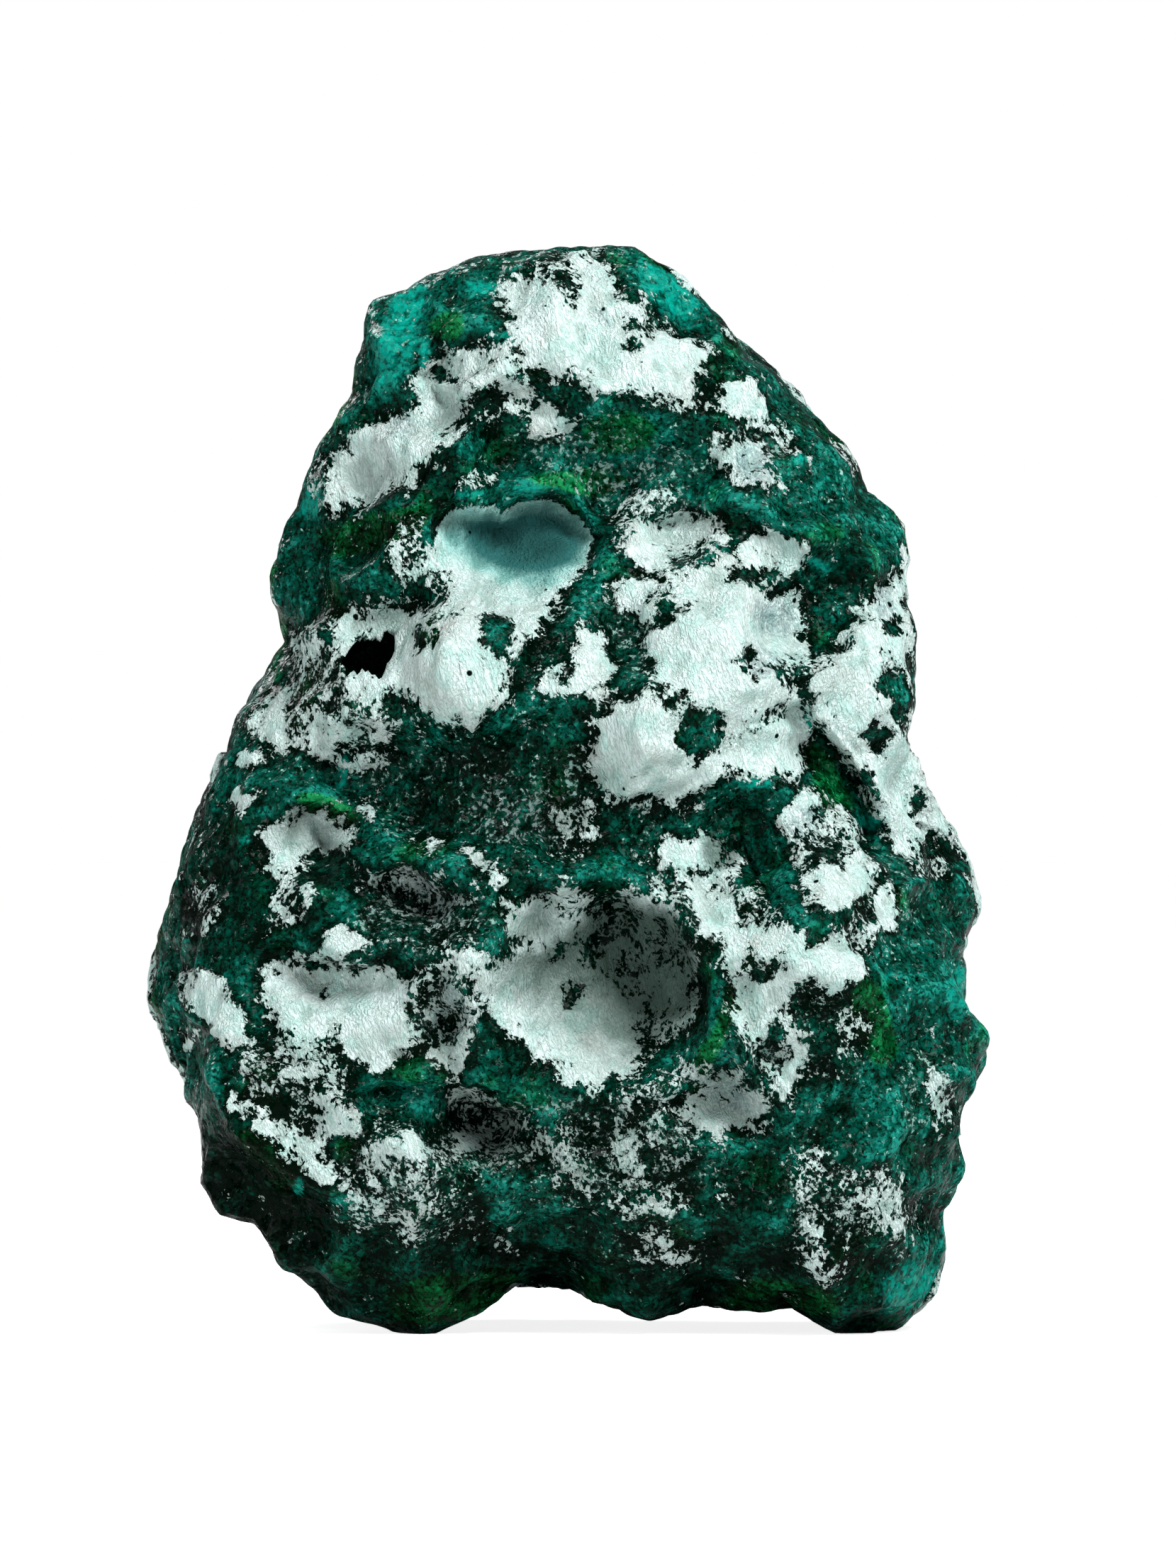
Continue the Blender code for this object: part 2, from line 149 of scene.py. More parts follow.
# Hollows: name: (x, z, half width, half height, turn in degrees, depth, lean)
# A lean above 0 moves the deepest place up the hollow's own height, as under an overhang.
HOLLOWS = {
    "heart, left lobe": (-6.8, 54.6, 3.4, 3.9, 10, 1.5, 0.45),
    "heart, right lobe": (-2.3, 54.0, 4.5, 5.0, -12, 2.7, 0.5),
    "left hollow": (-12.6, 49.0, 3.4, 3.2, 20, 1.8, 0.3),
    "black pit": (-14.1, 47.4, 1.9, 1.3, 15, 2.6, 0.0),
    "small left hollow": (-17.9, 34.2, 3.4, 2.7, 15, 2.1, 0.4),
    "great bowl": (1.9, 24.0, 8.2, 7.2, -38, 5.6, 0.65),
    "bowl's upper left": (-3.0, 29.3, 3.2, 2.2, -20, 1.0, 0.2),
    "bowl's low end": (10.4, 16.4, 4.4, 3.2, -30, 2.2, 0.35),
    "left bowl": (-16.2, 21.8, 7.0, 4.8, -10, 2.3, 0.3),
    "step beside the left bowl": (-8.6, 20.6, 2.0, 4.0, 5, 1.4, 0.0),
    "ledge hollow": (-5.4, 13.4, 5.0, 3.2, -22, 2.2, 0.4),
    "under the crest": (-10.4, 29.8, 5.4, 2.8, -8, 1.3, 0.3),
    "valley by the right facet": (17.2, 50.4, 3.4, 6.4, -30, 2.6, 0.0),
    "dip under the right edge": (18.6, 39.4, 4.2, 3.2, -50, 1.4, 0.0),
    "dip in the green face": (4.0, 61.2, 6.0, 3.0, -15, 0.9, 0.2),
    "right flank scoop": (22.6, 23.0, 4.4, 7.0, 8, 1.5, 0.0),
    "base scoop": (-1.0, 4.6, 7.0, 4.2, 0, 1.6, 0.3),
    "right base scoop": (12.5, 4.4, 5.2, 3.4, 0, 1.4, 0.3),
    "top notch": (-10.6, 69.6, 2.0, 4.4, 18, 1.5, 0.0),
}

# Lumps: name: (x, z, half width, half height, turn in degrees, height)
LUMPS = {
    "cap": (2.5, 69.5, 9.0, 6.5, -20, 1.4),
    "right shoulder": (19.5, 57.4, 6.2, 6.4, -35, 2.4),
    "left shoulder": (-13.0, 61.8, 6.5, 4.2, 38, 1.2),
    "middle bulge": (-7.4, 46.4, 4.6, 6.8, 10, 2.6),
    "right mass": (10.8, 46.4, 8.0, 9.4, -25, 2.6),
    "right mass, low lobe": (5.2, 41.8, 4.0, 4.6, 25, 1.5),
    "right swell": (15.0, 28.0, 8.0, 9.0, 25, 1.6),
    "patch by the bowl": (7.8, 33.2, 3.2, 3.4, 20, 1.2),
    "round patch": (18.6, 31.0, 3.6, 3.8, 0, 1.0),
    "low left apron": (-12.0, 12.2, 7.0, 5.0, -30, 1.6),
    "low right foot": (20.5, 8.0, 7.0, 8.0, 0, 1.6),
    "ring knob": (-19.3, 30.1, 2.2, 2.1, 0, 0.9),
}

# Crests: name: (points, height, half width)
CRESTS = {
    "between the bowl and the right flank": (
        [(-3.6, 31.4), (3.0, 32.2), (8.0, 29.4), (10.2, 24.0), (11.4, 20.2), (15.0, 13.2)],
        1.5, 2.0),
    "between the bowls": ([(-7.0, 28.6), (-6.6, 24.0), (-7.4, 19.0)], 1.1, 1.6),
    "green crest": ([(-21.0, 38.4), (-16.0, 37.0), (-12.4, 34.2), (-6.0, 32.2)], 1.1, 1.8),
    "left keel": ([(-28.4, 25.0), (-25.6, 19.4), (-22.4, 14.0), (-19.2, 11.2), (-15.0, 10.2)],
                  1.0, 1.6),
    "right edge": ([(16.8, 46.6), (18.2, 42.6), (21.4, 39.4), (25.0, 33.6)], 0.8, 1.4),
    "left ridge of the cap": ([(-9.0, 74.0), (-10.2, 71.0), (-12.4, 65.6)], 0.9, 1.3),
}

# Crust: each patch is a cover and its outline. Cover 1 is solid white, 0.3 is full of gaps,
# and 0 is flecks of crust on green as much as green flecks on crust.
CRUST = {
    "cap": (1.6, [
        (-3.3, 73.9), (-0.3, 75.7), (1.0, 75.7), (2.2, 74.9), (3.1, 73.6), (3.7, 72.7),
        (5.4, 72.3), (6.6, 71.4), (7.1, 69.9), (9.9, 69.3), (9.9, 68.1), (8.4, 64.9),
        (5.7, 65.2), (2.5, 66.2), (0.7, 66.8), (-2.0, 66.9), (-3.5, 68.5), (-4.2, 70.4),
        (-5.0, 72.7)]),
    "left of the cap": (-0.14, [
        (-9.0, 68.4), (-6.0, 69.2), (-3.0, 68.6), (-1.6, 66.8), (-2.2, 65.2), (-4.6, 63.8),
        (-7.4, 63.2), (-8.6, 65.0)]),
    "right of the cap": (0.8, [
        (9.9, 66.2), (11.2, 67.0), (13.4, 66.4), (13.8, 64.4), (12.4, 63.6), (10.9, 64.5),
        (9.8, 64.4)]),
    "strip down from it": (0.5, [(13.2, 64.9), (14.3, 63.9), (15.8, 62.6), (16.6, 61.2),
                                 (16.2, 61.1), (15.3, 62.3), (13.4, 63.2), (12.4, 62.9)]),
    "haze below it": (0.02, [
        (9.9, 63.4), (11.9, 63.2), (13.9, 61.4), (14.2, 59.4), (12.7, 58.9), (11.2, 60.2),
        (10.2, 61.7)]),
    "streak in the haze": (0.6, [(9.8, 62.8), (10.3, 62.8), (10.9, 61.2), (10.5, 61.2)]),
    "low streak in the haze": (0.7, [(11.3, 60.3), (12.9, 59.1), (12.9, 58.8), (11.6, 59.2)]),
    "spot under the cap": (0.9, [
        (-3.1, 63.7), (-2.3, 64.7), (-1.3, 65.0), (0.4, 64.3), (0.5, 63.2), (-1.3, 62.4),
        (-3.0, 62.7)]),
    "left shoulder": (1.2, [
        (-17.7, 59.4), (-17.3, 58.0), (-15.3, 57.5), (-13.1, 58.8), (-11.3, 59.3), (-9.8, 61.2),
        (-8.2, 62.7), (-7.9, 63.7), (-7.0, 65.9), (-5.6, 66.3), (-5.1, 68.1), (-6.6, 69.0),
        (-8.6, 69.1), (-10.3, 68.1), (-11.1, 66.2), (-11.2, 64.7), (-12.8, 63.7),
        (-14.3, 63.4), (-16.1, 62.2), (-17.1, 60.9)]),
    "between shoulder and cap": (0.5, [
        (-6.0, 67.8), (-3.0, 67.9), (-2.6, 66.6), (-3.4, 65.4), (-5.2, 65.8), (-6.2, 66.6)]),
    "below the shoulder": (0.2, [(-8.2, 59.4), (-6.0, 60.2), (-5.2, 59.7), (-7.2, 58.3)]),
    "left of the heart": (0.08, [
        (-12.8, 56.6), (-9.7, 57.4), (-9.4, 53.6), (-10.2, 52.2), (-11.8, 52.6), (-12.8, 54.4)]),
    "heart and bulge": (1.4, [
        (-9.7, 56.6), (-9.0, 57.4), (-7.8, 57.8), (-6.1, 57.9), (-4.9, 57.3), (-3.8, 58.1),
        (-2.1, 58.4), (-0.6, 58.1), (0.6, 57.2), (1.6, 56.0), (1.5, 54.9), (0.6, 53.5),
        (-0.1, 52.4), (-0.9, 51.4), (-1.2, 50.0), (-1.6, 48.6), (-2.9, 48.0), (-4.2, 46.6),
        (-4.1, 45.5), (-4.6, 44.2), (-5.4, 43.2), (-6.6, 42.5), (-8.4, 42.3), (-10.5, 42.6),
        (-11.1, 43.8), (-11.4, 45.0), (-9.6, 46.0), (-9.2, 48.4), (-8.8, 50.4), (-8.9, 51.8),
        (-9.9, 52.8), (-10.1, 54.6)]),
    "beside the black pit": (1.1, [
        (-16.9, 49.2), (-16.6, 50.2), (-15.6, 50.6), (-14.1, 50.2), (-13.6, 51.1),
        (-11.6, 51.1), (-10.8, 50.3), (-7.6, 50.3), (-7.6, 44.4), (-10.6, 44.2), (-13.1, 44.4),
        (-14.3, 43.8), (-14.8, 42.8), (-15.8, 44.3), (-15.8, 46.0), (-16.3, 47.5),
        (-16.8, 48.5)]),
    "right of the heart": (0.65, [
        (4.2, 55.8), (5.6, 57.0), (7.4, 56.6), (9.9, 57.0), (10.6, 55.6), (8.9, 55.0),
        (7.6, 54.2), (6.7, 53.5), (5.7, 53.0), (4.5, 53.7), (4.0, 54.8)]),
    "haze above it": (0.0, [
        (2.6, 56.6), (4.7, 58.9), (6.2, 59.4), (8.4, 57.2), (10.6, 57.0), (10.8, 55.4),
        (3.6, 55.0)]),
    "under the right shoulder": (0.6, [
        (11.4, 54.7), (12.4, 55.5), (14.4, 56.0), (16.4, 55.2), (16.9, 54.2), (15.9, 54.0),
        (15.2, 52.7), (13.7, 53.2), (12.4, 53.7)]),
    "right mass": (1.5, [
        (7.2, 53.5), (8.9, 54.1), (10.9, 53.7), (11.9, 52.2), (13.9, 52.2), (16.1, 51.7),
        (16.6, 50.5), (16.4, 49.0), (17.1, 46.5), (16.7, 44.2), (17.0, 42.5), (16.6, 40.2),
        (15.9, 38.8), (13.5, 38.5), (11.0, 39.0), (9.0, 37.8), (7.5, 36.4), (6.2, 36.6),
        (5.0, 37.4), (3.0, 37.4), (1.8, 38.8), (1.0, 41.4), (1.6, 43.0), (3.7, 44.3),
        (5.7, 44.7), (6.8, 45.4), (5.5, 46.3), (5.4, 47.3), (5.7, 48.9), (7.4, 50.2),
        (6.5, 51.5)]),
    "left of the mass, high": (1.0, [
        (3.0, 52.3), (4.2, 52.6), (6.1, 52.2), (6.4, 50.6), (5.0, 49.9), (4.0, 50.4)]),
    "left of the mass, middle": (1.0, [
        (0.4, 49.0), (1.3, 49.3), (2.7, 48.5), (3.1, 46.8), (2.8, 45.0), (1.9, 44.2),
        (0.3, 44.2), (-0.4, 45.6), (0.0, 47.2)]),
    "left of the mass, low": (0.8, [
        (-2.6, 46.6), (-1.4, 46.9), (-0.4, 46.4), (-0.4, 44.6), (-1.6, 44.2), (-2.5, 45.0)]),
    "right facet": (1.3, [
        (17.1, 46.3), (18.6, 47.2), (19.9, 49.3), (21.4, 51.5), (23.1, 53.0), (24.6, 50.0),
        (24.9, 46.3), (24.4, 42.3), (25.0, 40.0), (26.4, 37.6), (28.0, 34.9), (29.0, 33.2),
        (28.2, 33.1), (26.4, 34.0), (23.6, 35.1), (22.1, 35.9), (21.0, 37.9), (19.7, 39.7),
        (18.5, 41.0), (17.4, 42.8), (16.9, 44.5)]),
    "flecks at the far left": (0.0, [
        (-20.4, 48.8), (-17.4, 49.0), (-16.6, 46.6), (-15.6, 43.4), (-12.2, 42.4),
        (-12.4, 40.4), (-16.0, 39.4), (-19.4, 40.6), (-22.6, 42.0), (-21.6, 44.6),
        (-19.4, 45.4)]),
    "left patches, one": (0.6, [(-19.9, 47.6), (-18.2, 48.6), (-17.4, 47.6), (-18.6, 46.6)]),
    "left patches, two": (0.6, [(-21.8, 42.0), (-20.6, 44.0), (-19.6, 43.0), (-20.4, 41.4)]),
    "left patches, three": (0.7, [
        (-18.9, 40.6), (-18.0, 43.6), (-16.2, 44.0), (-15.2, 42.0), (-16.4, 40.2)]),
    "left patches, four": (0.6, [(-14.6, 41.8), (-13.2, 42.4), (-12.4, 41.4), (-13.6, 40.4)]),
    "left patches, five": (0.6, [(-23.4, 40.2), (-21.8, 40.8), (-21.2, 39.8), (-22.6, 39.4)]),
    "small left patch": (0.7, [(-24.1, 37.4), (-22.6, 37.9), (-21.3, 37.2), (-22.8, 36.2)]),
    "small left hollow": (1.1, [
        (-21.8, 33.0), (-21.4, 34.6), (-20.0, 36.2), (-18.4, 36.9), (-16.6, 36.0), (-15.4, 34.8),
        (-15.5, 33.8), (-16.8, 33.4), (-18.2, 33.2), (-19.2, 32.2), (-20.5, 31.6), (-21.5, 32.0)]),
    "ring": (1.3, [
        (-20.7, 30.2), (-19.9, 31.3), (-18.6, 31.2), (-17.4, 30.2), (-18.2, 28.9),
        (-19.6, 28.7), (-20.5, 29.3)]),
    "over the left bowl": (1.0, [
        (-18.2, 27.4), (-16.4, 28.3), (-14.8, 27.7), (-14.0, 26.4), (-16.0, 25.6), (-17.6, 26.0)]),
    "under the green crest": (-0.28, [
        (-14.5, 32.2), (-11.0, 32.0), (-6.8, 30.8), (-6.3, 27.4), (-9.0, 26.2), (-13.6, 27.2)]),
    "crest, first white": (0.6, [(-15.0, 36.8), (-13.9, 37.2), (-13.3, 36.4), (-14.4, 35.9)]),
    "crest, second white": (0.5, [(-11.2, 34.5), (-10.1, 35.1), (-8.9, 34.4), (-9.6, 33.4)]),
    "crest, streak": (0.9, [(-8.3, 33.9), (-7.3, 33.7), (-4.2, 31.6), (-5.0, 31.2), (-7.0, 32.5)]),
    "flecks under the middle": (-0.68, [
        (-14.6, 39.8), (-5.0, 41.0), (1.4, 38.4), (2.4, 33.4), (-4.0, 32.4), (-8.0, 35.0),
        (-13.0, 37.0)]),
    "shaded crust under the middle": (0.1, [(-1.6, 36.6), (1.4, 37.2), (1.6, 35.6), (-0.6, 35.0)]),
    "end of the crest": (0.15, [(-0.6, 36.0), (1.6, 36.4), (2.0, 34.6), (0.2, 33.8)]),
    "left bowl": (1.1, [
        (-21.8, 25.0), (-19.1, 25.9), (-16.8, 24.8), (-15.1, 24.8), (-12.6, 25.7),
        (-11.1, 23.7), (-11.1, 22.2), (-11.3, 19.7), (-12.6, 19.0), (-13.1, 18.0),
        (-15.1, 17.8), (-16.3, 19.2), (-16.6, 20.7), (-18.1, 20.0), (-20.1, 20.2),
        (-21.3, 22.2), (-22.0, 23.7)]),
    "left bowl's lower edge": (-0.06, [
        (-23.2, 20.6), (-20.0, 20.4), (-16.6, 20.2), (-15.4, 17.6), (-16.6, 14.6), (-17.6, 12.2),
        (-19.5, 14.4), (-22.4, 16.6)]),
    "step beside the left bowl": (-0.05, [
        (-10.6, 25.6), (-7.4, 25.4), (-6.9, 21.0), (-6.9, 18.4), (-9.8, 18.2), (-10.4, 21.0)]),
    "foot of the step": (0.6, [(-9.9, 19.8), (-7.2, 19.8), (-6.9, 18.3), (-9.6, 18.2)]),
    "between the bowls": (0.5, [(-8.6, 26.4), (-6.8, 26.6), (-6.2, 25.4), (-7.6, 25.0)]),
    "keel, inner side": (0.7, [
        (-26.6, 25.1), (-24.7, 24.5), (-23.0, 22.4), (-22.4, 20.0), (-23.3, 19.7),
        (-25.1, 20.8), (-26.4, 22.0), (-27.2, 23.6)]),
    "keel, small spot": (0.6, [(-27.4, 20.8), (-26.4, 20.8), (-26.2, 20.0), (-27.0, 20.0)]),
    "keel, upper spot": (0.4, [(-27.9, 25.0), (-27.3, 25.0), (-26.9, 23.4), (-27.4, 23.2)]),
    "keel, low": (0.6, [
        (-24.4, 16.9), (-22.0, 15.6), (-19.6, 14.6), (-17.8, 12.9), (-16.6, 11.0), (-15.8, 9.2),
        (-17.4, 10.2), (-19.3, 11.0), (-20.5, 12.1), (-22.1, 14.1), (-24.0, 15.8)]),
    "apron, upper bits": (0.2, [
        (-18.0, 14.6), (-16.8, 15.8), (-14.8, 15.0), (-14.6, 13.6), (-16.6, 13.4)]),
    "apron": (-0.1, [
        (-14.6, 14.0), (-12.6, 14.6), (-10.6, 13.7), (-8.1, 13.3), (-7.9, 12.0), (-9.3, 11.5),
        (-7.1, 9.8), (-6.5, 7.5), (-7.6, 6.3), (-8.9, 7.5), (-10.3, 8.0), (-11.3, 6.3),
        (-12.6, 7.8), (-14.6, 7.0), (-15.4, 9.0), (-15.8, 11.0)]),
    "apron, bright": (0.34, [
        (-14.4, 13.0), (-12.4, 14.2), (-10.0, 13.2), (-10.6, 12.2), (-13.0, 12.0),
        (-13.4, 10.0), (-12.0, 7.4), (-12.4, 7.0), (-14.2, 9.4), (-15.2, 11.4)]),
    "great bowl, floor": (1.4, [
        (-6.8, 25.2), (-6.6, 23.0), (-4.6, 20.9), (-2.8, 19.0), (-0.1, 17.4), (1.2, 16.3),
        (2.7, 17.7), (4.0, 17.5), (5.4, 18.4), (5.2, 21.0), (4.0, 23.0), (2.6, 25.2),
        (0.2, 26.6), (-2.4, 26.8), (-4.0, 26.4), (-5.2, 25.8)]),
    "great bowl, upper left": (0.9, [
        (-5.0, 29.9), (-4.9, 28.2), (-3.4, 27.0), (-1.4, 27.2), (0.0, 28.2), (-0.4, 29.4),
        (-2.0, 30.4)]),
    "great bowl, wall": (0.12, [
        (5.2, 18.4), (6.8, 20.6), (9.2, 22.0), (9.4, 23.8), (8.6, 26.4), (7.4, 29.4),
        (5.5, 30.8), (2.0, 31.0), (-1.5, 30.9), (-1.0, 28.0), (3.0, 25.0), (4.6, 22.0)]),
    "great bowl, by the crest": (0.7, [
        (6.6, 24.8), (8.6, 25.4), (9.3, 23.6), (8.4, 22.2), (6.8, 22.4)]),
    "bowl's low end": (0.7, [
        (7.2, 17.6), (9.0, 18.5), (11.4, 18.0), (12.9, 17.2), (14.2, 15.2), (13.7, 14.0),
        (11.4, 14.1), (9.7, 13.3), (8.4, 14.8), (7.3, 16.4)]),
    "below the great bowl": (-0.24, [
        (2.4, 16.4), (6.6, 17.2), (7.6, 14.8), (8.6, 12.0), (8.0, 8.8), (3.0, 8.0),
        (-0.6, 9.4), (-1.4, 13.4), (0.6, 14.6)]),
    "below the great bowl, bright": (0.2, [(3.0, 12.6), (5.0, 12.8), (5.4, 10.4), (3.6, 9.8)]),
    "below the great bowl, left": (0.1, [(-0.8, 13.6), (1.4, 12.4), (0.8, 10.4), (-0.8, 11.0)]),
    "ledge hollow": (0.0, [
        (-9.0, 17.0), (-6.4, 16.8), (-3.2, 14.6), (-1.8, 12.6), (-3.6, 10.8), (-7.0, 12.6)]),
    "by the bowl, high": (1.4, [
        (6.0, 33.9), (6.9, 35.0), (8.2, 34.9), (9.5, 33.4), (9.2, 32.0), (7.7, 31.9),
        (6.2, 32.3)]),
    "shade beside it": (0.05, [(8.4, 35.0), (10.8, 34.2), (12.2, 32.6), (11.2, 31.2), (9.2, 31.6)]),
    "by the bowl, band": (1.1, [
        (7.7, 31.6), (9.7, 31.4), (11.7, 29.6), (12.9, 28.6), (14.9, 28.6), (16.2, 27.2),
        (16.7, 26.5), (18.4, 27.6), (20.1, 26.2), (21.1, 24.9), (19.6, 23.8), (17.4, 24.2),
        (16.4, 24.5), (15.2, 23.2), (14.6, 22.2), (16.4, 21.2), (16.9, 18.2), (15.2, 16.1),
        (13.8, 17.7), (12.8, 19.7), (11.9, 20.7), (10.9, 22.2), (11.4, 23.7), (12.2, 24.7),
        (10.9, 25.2), (10.2, 26.7), (9.0, 27.7), (8.2, 29.2)]),
    "right of the band": (-0.32, [
        (16.2, 23.6), (18.6, 23.6), (20.8, 20.6), (19.6, 17.4), (17.0, 18.4), (16.0, 21.0)]),
    "flecks above the band": (-0.05, [(10.6, 30.6), (13.4, 31.2), (14.4, 28.6), (12.4, 28.4)]),
    "round patch": (1.4, [
        (16.7, 31.4), (17.3, 32.9), (18.8, 33.4), (20.4, 32.7), (21.0, 31.0), (20.2, 29.3),
        (18.5, 28.8), (17.0, 29.7)]),
    "above the round patch": (-0.14, [
        (15.3, 36.6), (16.4, 38.0), (17.6, 37.0), (18.8, 36.2), (20.2, 34.4), (21.6, 31.8),
        (21.0, 29.2), (18.8, 28.8), (16.6, 31.0), (15.8, 33.8)]),
    "top of that strip": (0.6, [(15.3, 36.4), (16.2, 37.8), (17.3, 37.2), (16.6, 35.4)]),
    "right of the round patch": (0.4, [
        (20.9, 30.8), (22.6, 30.8), (23.4, 29.0), (22.2, 27.6), (21.0, 28.2), (21.6, 29.6)]),
    "below the round patch": (-0.1, [(18.0, 28.8), (21.0, 28.4), (21.6, 27.0), (18.4, 27.2)]),
    "near the right edge": (0.45, [(21.9, 34.6), (23.2, 35.4), (24.3, 34.2), (23.2, 33.2)]),
    "below the right edge": (-0.08, [(24.0, 34.6), (27.0, 33.8), (26.6, 31.8), (24.2, 32.0)]),
    "low right, streaked": (-0.18, [
        (15.5, 10.2), (16.9, 12.0), (20.4, 11.6), (22.9, 10.4), (24.2, 8.2), (23.4, 6.3),
        (20.4, 6.8), (18.9, 6.3), (17.2, 8.3)]),
    "low right, bright": (0.12, [(20.6, 9.4), (22.8, 10.2), (23.9, 8.0), (22.8, 6.6), (20.2, 7.6)]),
    "low right, left bit": (0.5, [(15.6, 10.4), (16.4, 10.8), (17.0, 9.6), (16.0, 9.0)]),
    "low right, tail": (-0.05, [(16.4, 7.4), (19.4, 6.8), (20.0, 4.8), (18.4, 2.6), (16.8, 4.0)]),
    "base streaks": (0.05, [(3.6, 6.8), (6.4, 6.8), (8.8, 5.4), (7.4, 4.4), (4.4, 4.6)]),
    "base bit": (0.3, [(-5.2, 5.8), (-3.8, 6.0), (-3.4, 5.2), (-4.8, 4.9)]),
    "right edge, low": (0.05, [(25.2, 17.6), (26.6, 17.0), (27.2, 14.0), (25.8, 13.4)]),
    "far left haze": (-0.1, [(-27.2, 30.8), (-25.4, 31.2), (-25.0, 27.8), (-26.8, 27.8)]),
}

# Green gaps in the crust: (x, z, half width, half height, turn in degrees)
GAPS = [
    (-14.7, 48.7, 0.3, 0.2, 0), (-10.2, 48.6, 0.5, 0.5, 0),
    (-5.2, 48.75, 0.9, 1.15, 10), (9.1, 42.1, 1.5, 1.7, 10), (7.4, 44.2, 0.5, 0.35, 0),
    (15.9, 45.9, 0.8, 0.4, -25), (12.4, 46.9, 0.6, 0.5, 0), (13.6, 43.0, 0.5, 0.2, 30),
    (-8.98, 67.3, 0.55, 0.5, 0), (-3.9, 67.2, 0.4, 0.35, 0), (-19.8, 30.0, 0.5, 0.5, 0),
    (22.9, 44.8, 0.8, 2.0, 15), (21.6, 41.9, 0.7, 0.9, 0), (22.4, 49.2, 0.5, 0.4, 0),
    (0.35, 23.7, 0.4, 0.3, 30), (4.1, 24.7, 0.35, 0.3, 0), (8.4, 16.7, 0.6, 0.5, 0),
    (-5.75, 25.6, 0.35, 0.3, 0), (5.7, 70.6, 0.7, 0.35, -20), (4.4, 69.2, 0.4, 0.3, 0),
    (-0.2, 73.9, 0.2, 0.5, 20), (10.4, 65.3, 0.25, 0.5, 20), (24.2, 37.0, 0.3, 0.3, 0),
    (-15.2, 44.0, 0.9, 0.6, -20), (-17.2, 23.4, 0.3, 0.3, 0), (-21.2, 21.4, 0.6, 0.4, -30),
    (9.6, 24.9, 0.5, 1.2, 0), (13.6, 25.2, 0.9, 0.6, 30), (14.4, 19.8, 0.6, 1.2, -20),
]

# Painted shade on the bare green: darker where it faces down, under brows and ledges, in hollows
# and on the flanks turned from the light: (x, z, half width, half height, turn, how dark)
SHADES = [
    (-22.0, 9.0, 6.0, 6.5, 30, 1.6),
    (0.0, 2.0, 30.0, 5.0, 0, 0.9), (-17.0, 31.9, 2.8, 1.0, -20, 1.0),
    (-5.0, 38.0, 9.0, 3.4, 0, 0.5), (-9.6, 22.2, 1.2, 3.2, 0, 0.7), (-24.0, 31.0, 4.2, 6.0, 20, 0.9),
    (2.0, 35.4, 3.2, 2.0, -20, 0.6), (-4.8, 19.0, 3.0, 1.6, -30, 0.8), (9.6, 26.0, 1.6, 5.0, -20, 0.6),
    (-7.6, 14.2, 1.8, 2.6, -20, 0.8), (-19.0, 53.0, 2.6, 4.4, 10, 0.1), (11.0, 9.0, 4.0, 4.0, 0, 0.5),
    (-9.0, 60.0, 2.2, 1.8, 40, 0.7), (12.6, 34.0, 2.6, 3.6, 0, 0.4), (-3.0, 36.0, 5.4, 3.4, -10, 0.8),
    (-1.0, 50.4, 1.2, 4.0, -20, 0.35), (18.2, 54.0, 3.2, 2.4, 0, 0.4), (-16.6, 53.6, 3.6, 3.6, 0, 0.3),
    (-18.0, 17.6, 3.4, 1.8, -30, 0.5), (-7.0, 38.4, 5.0, 2.6, 20, 0.9), (0.0, 47.6, 2.0, 2.4, 0, 0.4),
]

# Places full of fine grey flecks: (x, z, half width, half height, turn, how dense)
FLECKS = [
    (-3.6, 36.4, 4.6, 2.9, -12, 1.0), (-9.6, 38.8, 6.0, 3.0, 0, 0.5), (0.6, 38.8, 3.0, 2.6, 0, 0.6),
    (-10.2, 28.6, 5.2, 2.8, -8, 0.9), (2.6, 61.0, 6.4, 2.6, -12, 0.6), (5.6, 58.4, 4.4, 1.8, -20, 0.8),
    (-18.6, 42.6, 4.4, 3.0, 0, 0.5), (-19.6, 47.0, 3.0, 2.4, 0, 0.6), (-0.6, 48.6, 3.0, 4.0, 0, 0.5),
    (4.6, 48.4, 2.0, 3.0, 0, 0.6), (12.4, 61.6, 2.6, 2.6, 10, 0.8), (-25.8, 29.4, 1.8, 2.4, 0, 0.7),
    (-8.8, 21.8, 2.4, 3.8, 0, 0.6), (3.0, 12.6, 7.6, 4.6, -10, 0.7), (-6.0, 13.4, 5.0, 3.4, -20, 0.6),
    (14.0, 22.0, 3.0, 5.0, -20, 0.7), (18.4, 20.0, 3.0, 3.6, 0, 0.5), (-11.6, 10.6, 5.0, 4.6, -20, 0.8),
    (19.6, 8.6, 5.0, 3.6, 0, 0.7), (22.0, 30.0, 2.6, 3.6, 0, 0.5), (8.8, 31.0, 2.6, 3.0, 0, 0.5),
    (25.0, 16.6, 2.0, 3.4, 0, 0.5), (6.0, 5.6, 4.4, 2.0, 0, 0.6), (-9.6, 34.0, 4.6, 1.8, -30, 0.5),
]
